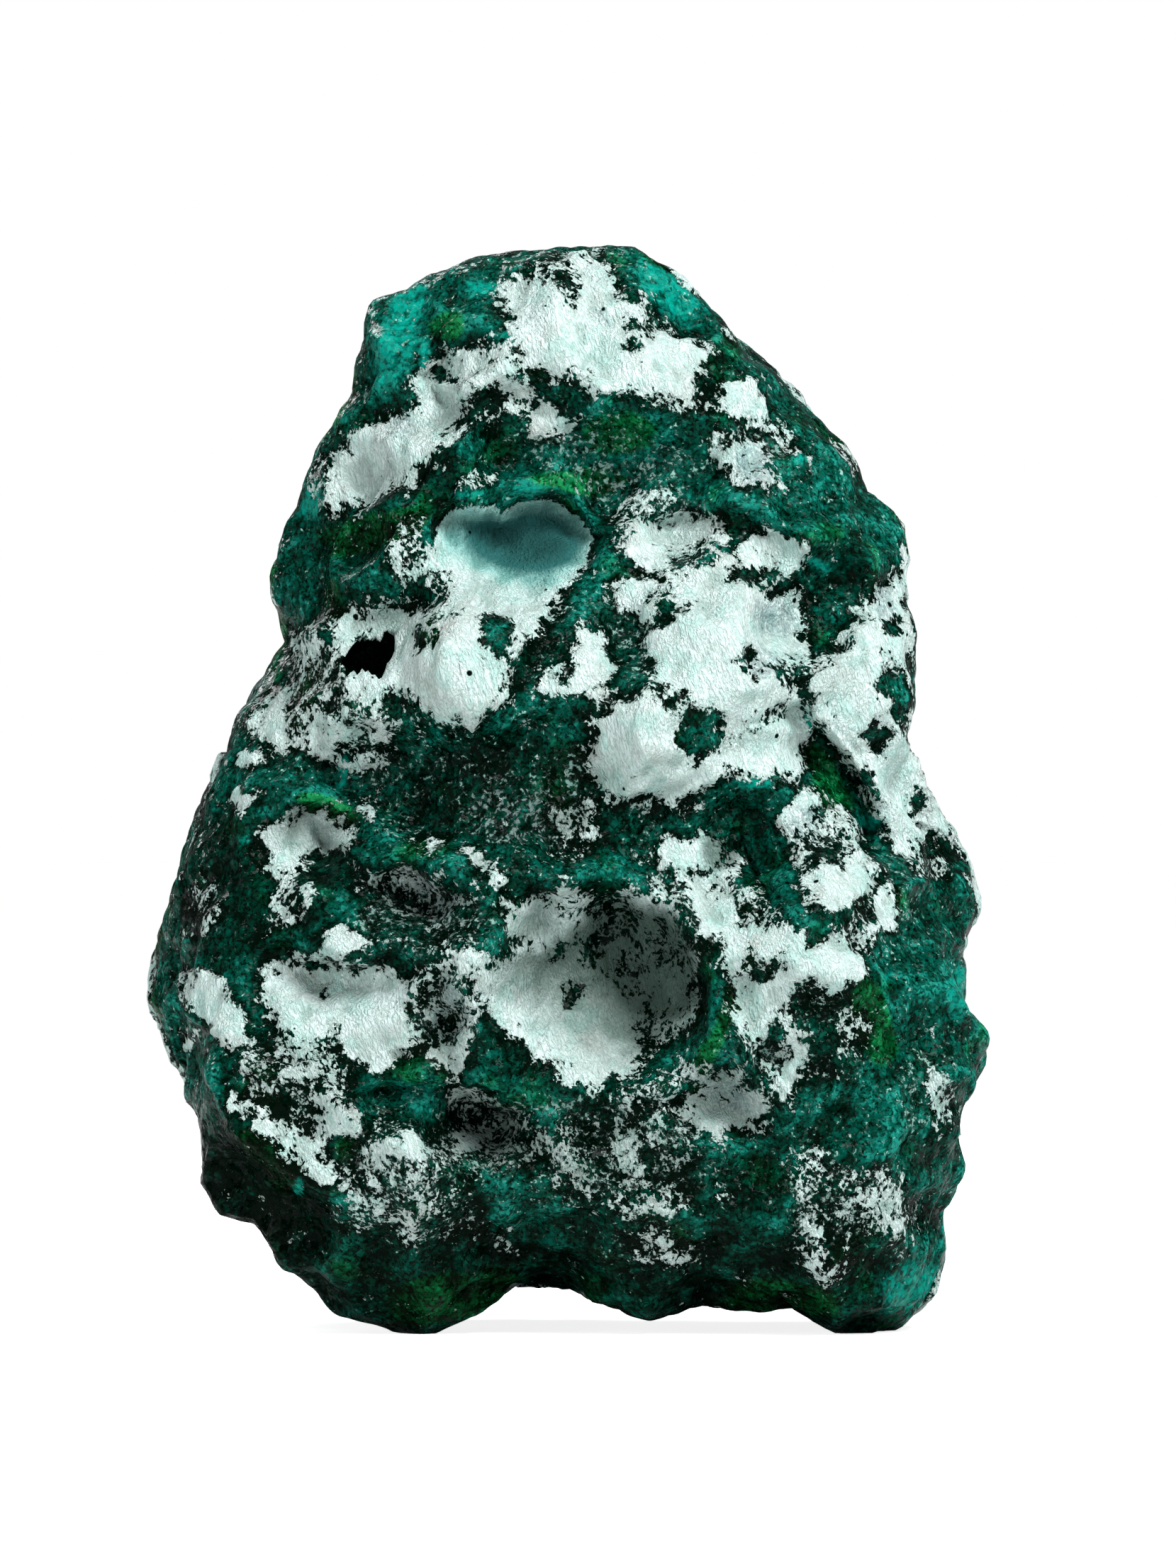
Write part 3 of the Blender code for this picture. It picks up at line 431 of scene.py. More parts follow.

# Painted light: bright teal places standing in for light that comes through a thin edge, and three
# broad weak ones that lighten the green under the cap and on the shoulders: (x, z, half width,
# half height, turn, and how bright where it isn't 1)
GLOWS = [
    (-12.0, 70.2, 1.5, 5.2, -18), (-5.9, 73.3, 1.8, 0.7, 0), (7.0, 73.4, 1.9, 3.4, 42),
    (24.2, 2.8, 2.6, 2.0, 25), (-18.2, 58.3, 0.9, 1.6, -30), (27.2, 23.6, 1.0, 2.2, 0),
    (16.0, 61.2, 0.5, 0.5, 0), (-4.3, 69.8, 0.9, 0.5, -20), (12.9, 38.4, 1.4, 0.5, 0),
    (21.0, 35.7, 1.1, 0.8, 0), (22.6, 24.9, 0.9, 0.4, 0), (-16.0, 39.1, 0.5, 1.4, -10),
    (-23.0, 34.4, 0.5, 0.4, 0), (-15.9, 8.9, 1.0, 0.4, 0), (-19.1, 10.0, 0.4, 0.7, 0),
    (17.4, 53.8, 1.2, 0.4, -25), (-2.2, 59.0, 2.6, 0.35, 0), (-7.2, 58.6, 1.6, 0.3, 0),
    (16.6, 42.6, 0.5, 0.6, 0), (2.6, 38.4, 0.8, 0.6, 0), (23.0, 12.6, 0.4, 1.0, 0),
    (-10.3, 68.6, 0.6, 1.4, 0), (4.0, 61.2, 8.0, 3.8, -15, 0.35), (19.0, 57.0, 3.6, 4.4, -30, 0.2),
    (-8.0, 66.0, 5.0, 6.0, 0, 0.15),
]

# Yellower green: (x, z, half width, half height, turn)
LEAFS = [
    (21.4, 21.4, 1.4, 3.2, 15), (-8.6, 70.4, 1.4, 1.2, 0), (-13.6, 56.2, 3.4, 1.5, 15),
    (18.0, 38.4, 1.2, 3.0, 20), (-15.8, 12.6, 1.0, 1.0, 0), (-21.3, 11.6, 3.0, 0.8, -50),
    (-17.0, 36.6, 2.6, 0.8, -20), (11.0, 22.0, 0.8, 5.0, -25), (1.0, 59.6, 4.0, 0.9, 0),
    (-8.0, 2.4, 5.0, 1.8, 10), (4.0, 63.0, 3.0, 1.4, 0), (-19.0, 44.0, 1.0, 3.0, -20),
    (3.6, 41.6, 0.8, 1.6, 0), (15.0, 2.0, 4.0, 1.6, 0),
]

# Blue-grey stains on the crust: (x, z, half width, half height, turn)
STAINS = [
    (14.3, 50.0, 2.4, 1.7, -30), (13.4, 46.8, 1.9, 1.2, -15), (-2.6, 54.4, 3.0, 2.2, -10),
    (13.0, 60.6, 1.8, 2.2, 10), (2.4, 70.9, 0.5, 1.6, 40), (-8.6, 22.0, 1.6, 3.0, 0),
    (6.8, 25.6, 2.4, 4.0, -20), (11.4, 16.4, 2.2, 1.6, -20), (-12.0, 63.6, 1.4, 1.2, 30),
    (16.4, 35.4, 1.6, 1.6, 0), (-10.0, 30.0, 4.0, 2.0, -10), (22.2, 50.6, 0.8, 2.6, 20),
]

# Painted shade on the crust in shaded hollows and under brows: (x, z, half width, half height, turn,
# how dim)
DUSKS = [
    (-9.0, 22.4, 2.0, 3.6, 0, 0.5), (-18.4, 35.2, 3.2, 2.0, 0, 0.5), (-10.4, 29.6, 4.6, 2.0, 0, 0.4),
    (11.0, 16.6, 3.4, 2.2, -24, 0.45), (-12.6, 49.9, 2.2, 1.6, 10, 0.4), (-6.0, 24.6, 1.4, 1.4, 0, 0.3),
    (19.0, 48.0, 1.6, 3.6, -30, 0.2), (-3.6, 28.6, 2.6, 2.0, 0, 0.35), (8.0, 24.0, 2.0, 2.0, 0, 0.55),
    (10.6, 33.6, 1.6, 1.6, 0, 0.7), (-8.9, 67.9, 1.6, 1.0, 0, 0.3), (13.6, 21.4, 1.6, 3.0, -20, 0.1),
    (3.0, 12.4, 7.0, 4.0, -10, 0.4), (-6.0, 13.4, 4.6, 3.0, -20, 0.6), (-0.4, 36.0, 2.0, 1.6, 0, 0.6),
    (19.6, 8.4, 3.6, 3.0, 0, 0.1), (-19.6, 17.6, 4.0, 2.6, -30, 0.3),
]

# Painted shade on floors of smooth crust, each darker towards the wall that shades it: the
# outline, how soft its edge is, the way it darkens, where along that it begins and ends, and how
# dark it gets. The heart is at its darkest only in its middle, and as much lighter elsewhere as its
# share says.
HEART = ([
    (-9.5, 55.6), (-9.2, 56.6), (-8.3, 57.5), (-6.8, 57.9), (-5.6, 57.8), (-4.7, 57.3),
    (-3.7, 58.2), (-2.4, 58.5), (-0.9, 58.1), (0.6, 57.1), (1.7, 55.7), (1.2, 54.4),
    (0.0, 52.9), (-1.2, 51.6), (-3.0, 50.8), (-5.0, 51.6), (-7.4, 53.0), (-9.0, 54.2)],
    1.3, (0.35, 0.94), 44.2, 51.4, 1.0)
HEART_MIDDLE = [(-3.6, 55.0, 3.6, 2.0, -8)]
HEART_SHARE = 0.6
BOWL = ([
    (-6.1, 25.0), (-3.6, 21.2), (-0.1, 17.4), (4.0, 17.5), (6.8, 20.6), (9.4, 22.4),
    (9.2, 26.4), (7.4, 29.6), (2.0, 30.6), (0.6, 28.8), (-2.0, 26.8), (-5.4, 26.4)],
    1.0, (0.5, 0.86), 13.0, 23.4, 0.9)

# The black pit, and how deep it goes.
PIT = [
    (-15.95, 47.1), (-15.0, 48.15), (-13.7, 48.2), (-13.0, 48.75), (-12.4, 48.55), (-12.6, 46.95),
    (-13.5, 46.05), (-14.5, 46.4), (-15.65, 46.15)]
PIT_DEPTH = 1.1


# The body of the stone


def smooth(low, high, value):
    """0 below low, 1 above high, and an S-curve between."""
    t = np.clip((value - low) / (high - low), 0.0, 1.0)
    return t * t * (3.0 - 2.0 * t)


def waves(points, wavelength, random, count=20):
    """A smooth random swell: the sum of plane waves of one length in many directions."""
    way = random.normal(size=(count, 3))
    way *= (2 * math.pi / wavelength) / np.linalg.norm(way, axis=1)[:, None]
    phase = random.uniform(0, 2 * math.pi, count)
    return np.sin(points @ way.T + phase).sum(axis=1) / math.sqrt(count / 2)


def scrambled(cells, salt):
    """One number from 0 to 1 for each whole-number cell: its coordinates multiplied and folded."""
    x, y, z = (cells.astype(np.int64) & 0xFFFFFFFF).astype(np.uint64).T
    mixed = x * np.uint64(73856093) ^ y * np.uint64(19349663) ^ z * np.uint64(83492791)
    mixed ^= np.uint64(salt * 2654435761 % 2**32)
    mixed = (mixed ^ (mixed >> np.uint64(13))) * np.uint64(1274126177) & np.uint64(0xFFFFFFFF)
    mixed = (mixed ^ (mixed >> np.uint64(16))) * np.uint64(2246822519) & np.uint64(0xFFFFFFFF)
    return (mixed ^ (mixed >> np.uint64(15))).astype(float) / 2.0**32


# How steeply a broken face tilts, and how fast it sinks away from its own middle.
FACET_TILT = 1.2
FACET_SINK = 0.55


def facets(points, size, seed):
    """Flat broken faces about one size across, from 0 up.

    One random point lies in each cubic cell. Each carries a tilted plane that sinks with the
    squared distance from its point, and the highest of the planes around a place is its height.
    """
    scaled = points / size
    home = np.floor(scaled)
    best = np.full(len(points), -1e9)
    for step in np.ndindex(3, 3, 3):
        cell = home + np.array(step) - 1.0
        salts = seed * 16
        jitter = np.stack([scrambled(cell, salts + k) for k in range(3)], axis=1)
        tilt = np.stack([scrambled(cell, salts + k) for k in range(3, 6)], axis=1) - 0.5
        reach = scaled - cell - jitter
        plane = (reach * tilt).sum(axis=1) * FACET_TILT - (reach**2).sum(axis=1) * FACET_SINK
        best = np.maximum(best, plane)
    return best


def outline_radius(angle, detail):
    """The outline's distance from its centre at each angle.

    Detail runs from 0, the outline smoothed to its first few waves, to 1, the outline as broken.
    """
    points = np.array(OUTLINE) - CENTRE
    at = np.arctan2(points[:, 1], points[:, 0])
    order = np.argsort(at)
    at, radius = at[order], np.hypot(*points[order].T)
    ring = np.linspace(-math.pi, math.pi, RING_STEPS, endpoint=False)
    broken = np.interp(ring, at, radius, period=2 * math.pi)
    spectrum = np.fft.rfft(broken)
    spectrum[SMOOTH_WAVES:] = 0
    soft = np.fft.irfft(spectrum, RING_STEPS)
    as_smoothed = np.interp(angle, ring, soft, period=2 * math.pi)
    as_broken = np.interp(angle, ring, broken, period=2 * math.pi)
    return as_smoothed + (as_broken - as_smoothed) * detail


def within_outline(points):
    """Where each point lies once what stands out past the outline is drawn softly back to it."""
    x, z = points[:, 0] - CENTRE[0], points[:, 2] - CENTRE[1]
    share = np.hypot(x, z) / outline_radius(np.arctan2(z, x), 1.0)
    beyond = np.clip((share - OUTLINE_KEPT) / (1.0 - OUTLINE_KEPT), 0.0, None)
    drawn = OUTLINE_KEPT + (OUTLINE_LIMIT - OUTLINE_KEPT) * np.tanh(beyond)
    ratio = np.where(beyond > 0.0, drawn / np.maximum(share, OUTLINE_KEPT), 1.0)
    return CENTRE[0] + x * ratio, CENTRE[1] + z * ratio


def ellipse(x, z, cx, cz, half_width, half_height, turn):
    """Coordinates inside a turned ellipse, each from -1 to 1 across it."""
    c, s = math.cos(math.radians(turn)), math.sin(math.radians(turn))
    u = ((x - cx) * c + (z - cz) * s) / half_width
    v = ((z - cz) * c - (x - cx) * s) / half_height
    return u, v


# How each form's height follows the distance in from its rim: below 1 it has a crisp rim, and
# above 1 it runs out smoothly.
HOLLOW_POWER = 0.85
LUMP_POWER = 1.5
CREST_POWER = 1.4


def hollow(x, z, cx, cz, half_width, half_height, turn, depth, lean):
    """A bowl one unit deep at its middle, with a crisp rim; the lean steepens its upper wall."""
    u, v = ellipse(x, z, cx, cz, half_width, half_height, turn)
    inward = np.clip(1.0 - u * u - v * v, 0.0, None)
    return -depth * inward**HOLLOW_POWER * (1.0 + lean * v)


def lump(x, z, cx, cz, half_width, half_height, turn, height):
    """A rounded swelling that runs out smoothly."""
    u, v = ellipse(x, z, cx, cz, half_width, half_height, turn)
    return height * np.clip(1.0 - u * u - v * v, 0.0, None) ** LUMP_POWER


def along_line(x, z, points):
    """Signed distance from a polyline, above 0 on its right, and the share of it walked."""
    points = np.array(points, float)
    lengths = np.hypot(*np.diff(points, axis=0).T)
    walked = np.concatenate([[0.0], np.cumsum(lengths)])
    best = np.full(x.shape, 1e9)
    signed = np.zeros(x.shape)
    share = np.zeros(x.shape)
    for i, length in enumerate(lengths):
        dx, dz = (points[i + 1] - points[i]) / length
        px, pz = x - points[i, 0], z - points[i, 1]
        t = np.clip(px * dx + pz * dz, 0.0, length)
        distance = np.hypot(px - t * dx, pz - t * dz)
        nearer = distance < best
        best = np.where(nearer, distance, best)
        signed = np.where(nearer, np.sign(px * dz - pz * dx) * distance, signed)
        share = np.where(nearer, (walked[i] + t) / walked[-1], share)
    return signed, share


def brow(x, z, points, back, slope, run):
    """The stone set back beside an edge: it falls away over the slope, and is out again at the run."""
    side, share = along_line(x, z, points)
    ends = smooth(0.0, RUN_OUT, share) * smooth(0.0, RUN_OUT, 1.0 - share)
    fallen = np.clip(side / slope, 0.0, 1.0)
    return -back * ends * fallen * (2.0 - fallen) * (1.0 - smooth(slope, run, side))


def crest(x, z, points, height, half_width):
    """A raised crest with a sharp top along a line."""
    side, share = along_line(x, z, points)
    ends = smooth(0.0, RUN_OUT, share) * smooth(0.0, RUN_OUT, 1.0 - share)
    return height * ends * np.clip(1.0 - np.abs(side) / half_width, 0.0, 1.0) ** CREST_POWER


def front_relief(x, z):
    """Everything pressed into the front or standing proud of it, in millimetres."""
    total = np.zeros(x.shape)
    for shape, features in ((brow, BROWS), (hollow, HOLLOWS), (lump, LUMPS), (crest, CRESTS)):
        for values in features.values():
            total += shape(x, z, *values)
    return total


def scallops(points, random):
    """Scoops with edges between them: the squared distance to the nearest of many random points."""
    way = random.normal(size=(SCALLOPS, 3))
    way /= np.linalg.norm(way, axis=1)[:, None]
    middles = way * BODY_HALF + BODY_MIDDLE
    nearest = np.full(len(points), 1e9)
    for middle in middles:
        nearest = np.minimum(nearest, np.linalg.norm(points - middle, axis=1))
    return SCALLOP_DEPTH * (np.clip(nearest / SCALLOP_SIZE, 0.0, 1.0) ** 2 - SCALLOP_LEVEL)


def body_points(direction):
    """The stone's main surface in millimetres, for unit directions from its middle.

    The outline, seen from the front, is a radius at each angle. From front to back the profile
    is a rounded box: across to a power plus front to that power is 1. Scallops, waves and
    creases move it along the body's own normal, and the front's features move it forwards.
    """
    random = np.random.default_rng(SEED)
    front = -direction[:, 1]
    across = np.hypot(direction[:, 0], direction[:, 2])
    angle = np.arctan2(direction[:, 2], direction[:, 0])
    angle = angle + KEEL_BEND * front**2 * waves(direction, BEND_WAVELENGTH, random)
    downward = smooth(*BROKEN_DOWN, -np.sin(angle))
    boxy = BOXY_TOP + (BOXY_BASE - BOXY_TOP) * smooth(*SQUARER_DOWN, -np.sin(angle))
    reach = (across**boxy + np.abs(front) ** boxy) ** (-1.0 / boxy)

    edge_on = np.exp(-((front / BROKEN_BAND) ** 2))
    radius = outline_radius(angle, np.maximum(edge_on, downward))
    x = CENTRE[0] + radius * np.cos(angle) * reach * across
    z = CENTRE[1] + radius * np.sin(angle) * reach * across
    height = np.clip(z / HEIGHT, 0.0, 1.0)
    drawn_in = smooth(*FRONT_DRAWN_IN, height)
    front_depth = FRONT_DEPTH_LOW + (FRONT_DEPTH_HIGH - FRONT_DEPTH_LOW) * drawn_in
    drawn_in = smooth(*BACK_DRAWN_IN, height)
    back_depth = BACK_DEPTH_LOW + (BACK_DEPTH_HIGH - BACK_DEPTH_LOW) * drawn_in
    y = -front * reach * np.where(front > 0, front_depth, back_depth)

    points = np.stack([x, y, z], axis=1)
    outward = (points - BODY_MIDDLE) / BODY_HALF**2
    outward /= np.linalg.norm(outward, axis=1)[:, None]
    facing = smooth(*FACES_FRONT, front)
    rough = scallops(points, random) * (1.0 - SCALLOPS_LOSE * facing)
    for wavelength, size in WAVES:
        rough += waves(points, wavelength, random) * size * (1.0 - WAVES_LOSE * facing)
    wavelength, size = CREASES
    rough -= (np.abs(waves(points, wavelength, random)) - CREASE_LEVEL) * size
    flank = 1.0 - np.exp(-((front / CALM_BAND) ** 2))
    aside = sum(waves(points, wavelength, random) * size for wavelength, size in WANDER)
    upward = sum(waves(points, wavelength, random) * size for wavelength, size in WANDER)
    relief = front_relief(points[:, 0] + aside, points[:, 2] + upward) * facing
    sideways = np.hypot(outward[:, 0], outward[:, 2])
    push = rough * (CALM_ROUGHNESS + (1.0 - CALM_ROUGHNESS) * flank) - SET_BACK * flank * sideways
    points += outward * push[:, None]
    points[:, 1] -= relief
    points[:, 0], points[:, 2] = within_outline(points)
    return points


# The box of square patches that the stone's surface starts from: cells across, deep and high,
# and how deep the box is against its width. A shallow box gives the front most of the cells.
CELLS = (170, 40, 202)
BOX_DEPTH = 0.45


def box_surface():
    """Unit directions all over a closed box of patches, and its four-cornered faces.

    Along each edge the places are tangents of evenly spaced angles, so that neighbouring
    patches share their edge's corners exactly and the cells keep nearly one size.
    """
    span = [np.linspace(-1.0, 1.0, count + 1) for count in CELLS]
    wide = math.atan(1.0 / BOX_DEPTH)
    across = BOX_DEPTH * np.tan(span[0] * wide)
    deep = BOX_DEPTH * span[1]
    high = BOX_DEPTH * np.tan(span[2] * wide)
    corners, faces, used = [], [], 0
    sides = [
        (across, high, lambda a, b: (a, -BOX_DEPTH + 0 * a, b)),
        (high, across, lambda a, b: (b, BOX_DEPTH + 0 * a, a)),
        (deep, high, lambda a, b: (1 + 0 * a, a, b)),
        (high, deep, lambda a, b: (-1 + 0 * a, b, a)),
        (across, deep, lambda a, b: (a, b, 1 + 0 * a)),
        (deep, across, lambda a, b: (b, a, -1 + 0 * a)),
    ]
    for first, second, place in sides:
        a, b = np.meshgrid(first, second, indexing="ij")
        corners.append(np.stack(place(a, b), axis=-1).reshape(-1, 3))
        index = np.arange(a.size).reshape(a.shape) + used
        quad = (index[:-1, :-1], index[1:, :-1], index[1:, 1:], index[:-1, 1:])
        faces.append(np.stack(quad, axis=-1).reshape(-1, 4))
        used += a.size
    corners = np.concatenate(corners)
    _, kept, which = np.unique(np.round(corners, 6), axis=0, return_index=True, return_inverse=True)
    corners = corners[kept]
    return corners / np.linalg.norm(corners, axis=1)[:, None], which.reshape(-1)[np.concatenate(faces)]


def vertex_normals(points, faces):
    """Each point's normal: the sum of its faces' normals, made one unit long."""
    across = points[faces[:, 2]] - points[faces[:, 0]]
    other = points[faces[:, 3]] - points[faces[:, 1]]
    flat = np.cross(across, other)
    total = np.zeros_like(points)
    for corner in faces.T:
        for k in range(3):
            total[:, k] += np.bincount(corner, weights=flat[:, k], minlength=len(points))
    return total / np.maximum(np.linalg.norm(total, axis=1), 1e-12)[:, None]


def neighbour_mean(values, faces):
    """The mean over each point's neighbours, which are the next corners round its faces."""
    here = faces.ravel()
    there = np.roll(faces, -1, axis=1).ravel()
    count = np.bincount(here, minlength=len(values))
    columns = values.reshape(len(values), -1).T
    total = [np.bincount(here, weights=column[there], minlength=len(values)) for column in columns]
    return (np.stack(total, axis=1) / count[:, None]).reshape(values.shape)


def crease_depth(points, faces, normals):
    """How far each point lies under its neighbours, above 0 in creases and below 0 on edges."""
    dent = ((neighbour_mean(points, faces) - points) * normals).sum(axis=1)
    for _ in range(2):
        dent = (dent + neighbour_mean(dent, faces)) / 2
    return dent


def polygon_depth(x, z, outline):
    """How far inside an outline a place is, in millimetres, and below 0 outside it."""
    corners = np.array(outline, float)
    after = np.roll(corners, -1, axis=0)
    nearest = np.full(x.shape, 1e9)
    within = np.zeros(x.shape, bool)
    for (ax, az), (bx, bz) in zip(corners, after):
        dx, dz = bx - ax, bz - az
        t = np.clip(((x - ax) * dx + (z - az) * dz) / (dx * dx + dz * dz), 0.0, 1.0)
        nearest = np.minimum(nearest, np.hypot(x - ax - t * dx, z - az - t * dz))
        crossed = (az > z) != (bz > z)
        within ^= crossed & (x < dx * (z - az) / (dz if dz else 1e-9) + ax)
    return np.where(within, nearest, -nearest)


def ovals(x, z, places):
    """The strongest of many soft ovals: 1 inside each and falling to 0 a little outside it."""
    best = np.zeros(x.shape)
    for cx, cz, half_width, half_height, turn, *strength in places:
        u, v = ellipse(x, z, cx, cz, half_width, half_height, turn)
        weight = strength[0] if strength else 1.0
        best = np.maximum(best, weight * (1.0 - smooth(0.6, 1.3, np.hypot(u, v))))
    return best


# Crust, markings and fine relief


# Seen from this far away, in millimetres, and from this place in the front view, the crust's
# outlines are where the tables have them.
VIEW_DISTANCE = 1000.0
VIEW_MIDDLE = (1.5, 38.3)

# How sure the crust is where there is none, and how it rises inwards from a patch's edge.
BARE = -0.72
EDGE_SLOPES = (0.75, 1.6)
EDGE_RISE = 1.9

# How far the crust's edges wander from the tables: wavelengths and sizes.
EDGE_WANDER = [(2.2, 0.22), (1.1, 0.14)]

# A gap's depth for each millimetre of its smaller half, and how far past its rim it reaches.
GAP_DEPTH = 1.2
GAP_REACH = 0.25

# The green lip over the heart: where it begins and is full going up, and coming in from outside
# the heart's outline, and how bare it is. From its own edge inwards the heart is crust all over,
# and the black pit is bare.
LIP_HEIGHT = (54.6, 56.4)
LIP_WIDTH = (-1.4, -0.4)
LIP_BARE = -1.4
HEART_EDGE = (-0.25, 0.15)
HEART_SURE = 1.6
PIT_BARE = -1.7

# The tables hold where the surface faces forwards this much, or lies this far forwards.
SEEN_FACING = (0.08, 0.4)
SEEN_FORWARD = (0.25, 0.5)

# Crust elsewhere: the wavelengths and sizes of its swells, how much is taken off them, the
# highest cover, and how much thinner it gets towards the front, and where.
BROAD_SWELLS = [(21.0, 0.45), (9.0, 0.45), (4.0, 0.25)]
BROAD_LOSS = 0.35
BROAD_COVER = 0.9
THINNER = 0.4
THINS = (-0.3, 0.1)

# Two more waves that roughen how sure the crust is all over, and how sure it has to be for
# the stone to be raised there.
CRUST_WAVES = [(5.0, 0.14), (2.4, 0.1)]
COATED = (-0.05, 0.25)

# Markings: their places on the front, and elsewhere the wavelength of the swell that they
# follow, and the heights on it at which they begin and are full. The glow is painted light, and
# the others are colours of the stone itself.
MARKINGS = {
    "glow": (GLOWS, 5.0, 1.1, 2.8),
    "leaf": (LEAFS, 11.0, 0.6, 1.6),
    "stain": (STAINS, 5.0, 0.8, 2.2),
    "fleck": (FLECKS, 9.0, 0.2, 1.6),
}

# Painted shade in the black pit, and how much darker the green is beside the crust.
PIT_SHADE = 2.0
BESIDE_CRUST = (-0.7, -0.25)
BESIDE_CRUST_SHADE = 1.2

# The green's broken faces: sizes and heights.
GRAIN = [(3.1, 1.0), (1.4, 0.5)]

# The crust's folds are drawn out upwards: how the stone is squeezed before a wave is read off
# it, the wavelength and the height. The flat faces between them have a size and a height too.
LONG_FOLDS = ([1.0, 1.0, 0.45], 2.4, 0.8)
SHORT_FOLDS = ([1.0, 1.0, 0.6], 1.3, 0.35)
FOLD_FACES = (2.6, 1.4)
FOLD_SEED = 3

# The fine relief begins and is full at these heights, so that the feet stay flat.
FOOT = (0.3, 1.6)

# The depth of a crease that counts as 1, and the most that is counted. It paints shade into creases,
# and light onto the green's edges.
CREASE_SCALE = 0.03
CREASE_LIMIT = 1.5


def seen_from_front(points):
    """Where a point of the surface shows in the front view: nearer points spread from its middle."""
    nearer = VIEW_DISTANCE / (VIEW_DISTANCE + points[:, 1])
    x = VIEW_MIDDLE[0] + (points[:, 0] - VIEW_MIDDLE[0]) * nearer
    z = VIEW_MIDDLE[1] + (points[:, 2] - VIEW_MIDDLE[1]) * nearer
    return x, z


def roughened(values, points, swells, random):
    """Numbers with a few waves added to them."""
    for wavelength, size in swells:
        values = values + waves(points, wavelength, random) * size
    return values


def crust_on_front(points, random):
    """How sure the crust is at each point: the highest of the patches, less the gaps in them."""
    x, z = seen_from_front(points)
    x = roughened(x, points, EDGE_WANDER, random)
    z = roughened(z, points, EDGE_WANDER, random)
    sure = np.full(x.shape, BARE)
    for cover, outline in CRUST.values():
        depth = polygon_depth(x, z, outline)
        slope = np.clip(EDGE_RISE / depth.max(), *EDGE_SLOPES)
        sure = np.maximum(sure, np.minimum(depth * slope, cover))
    for place in GAPS:
        u, v = ellipse(x, z, *place)
        smaller_half = min(place[2], place[3])
        depth = (1.0 - np.hypot(u, v)) * smaller_half * GAP_DEPTH + GAP_REACH
        sure = np.minimum(sure, np.where(depth > -1.0, -depth, 1.0))
    x, z = seen_from_front(points)
    depth = polygon_depth(x, z, HEART[0])
    sure += (LIP_BARE - sure) * smooth(*LIP_HEIGHT, z) * smooth(*LIP_WIDTH, depth)
    sure += (HEART_SURE - sure) * smooth(*HEART_EDGE, depth)
    sure += (PIT_BARE - sure) * inside(x, z, PIT)
    return sure


def inside(x, z, outline, edge=0.15):
    """1 inside an outline and 0 outside, with a narrow slope between."""
    return smooth(-edge, edge, polygon_depth(x, z, outline))


def darkened_floor(x, z, outline, edge, way, begins, ends, darkest):
    """How dark the painted shade on a smooth floor is: rising along its own way, and 0 outside it."""
    along = smooth(begins, ends, x * way[0] + z * way[1])
    return darkest * along * inside(x, z, outline, edge)


def crust_elsewhere(points, random):
    """Crust in broad patches on the sides, the back and the top: swells added together."""
    broad = roughened(0.0, points, BROAD_SWELLS, random)
    return np.clip(broad - BROAD_LOSS, BARE, BROAD_COVER)


def markings(points, seen, random):
    """How strong the markings are at each point, by name; they follow the tables where seen. The glow
    is painted light, and the heart's tint, the dim crust and the shade are painted shade.
    """
    x, z = seen_from_front(points)
    marks = {}
    for name, (places, wavelength, begins, full) in MARKINGS.items():
        elsewhere = smooth(begins, full, waves(points, wavelength, random))
        marks[name] = ovals(x, z, places) * seen + elsewhere * (1.0 - seen)
    # Painted shade: the heart darkening under its upper wall, the crust dimmed in shaded hollows, and
    # painted shade on the bare green.
    middle_of_heart = HEART_SHARE + (1.0 - HEART_SHARE) * ovals(x, z, HEART_MIDDLE)
    marks["tint"] = darkened_floor(x, z, *HEART) * middle_of_heart * seen
    marks["dusk"] = np.maximum(ovals(x, z, DUSKS), darkened_floor(x, z, *BOWL)) * seen
    marks["shade"] = ovals(x, z, SHADES) * seen
    return marks


def fine_relief(points, crust, pit, random):
    """How far each point moves outwards, in millimetres: by grain where it is bare, or by crust."""
    settings = bpy.context.scene.dioptase
    coated = smooth(*COATED, crust)
    grain = sum(facets(points, size, seed) * height for seed, (size, height) in enumerate(GRAIN, 1))
    squeeze, wavelength, height = LONG_FOLDS
    folds = (1.0 - np.abs(waves(points * squeeze, wavelength, random))) * height
    squeeze, wavelength, height = SHORT_FOLDS
    folds += waves(points * squeeze, wavelength, random) * height
    size, height = FOLD_FACES
    folds += facets(points, size, FOLD_SEED) * height
    fine = grain * (1.0 - coated) * settings.grain_height / MM
    fine += coated * (settings.crust_thickness + folds * settings.fold_height) / MM
    fine -= pit * PIT_DEPTH
    return fine * smooth(*FOOT, points[:, 2])


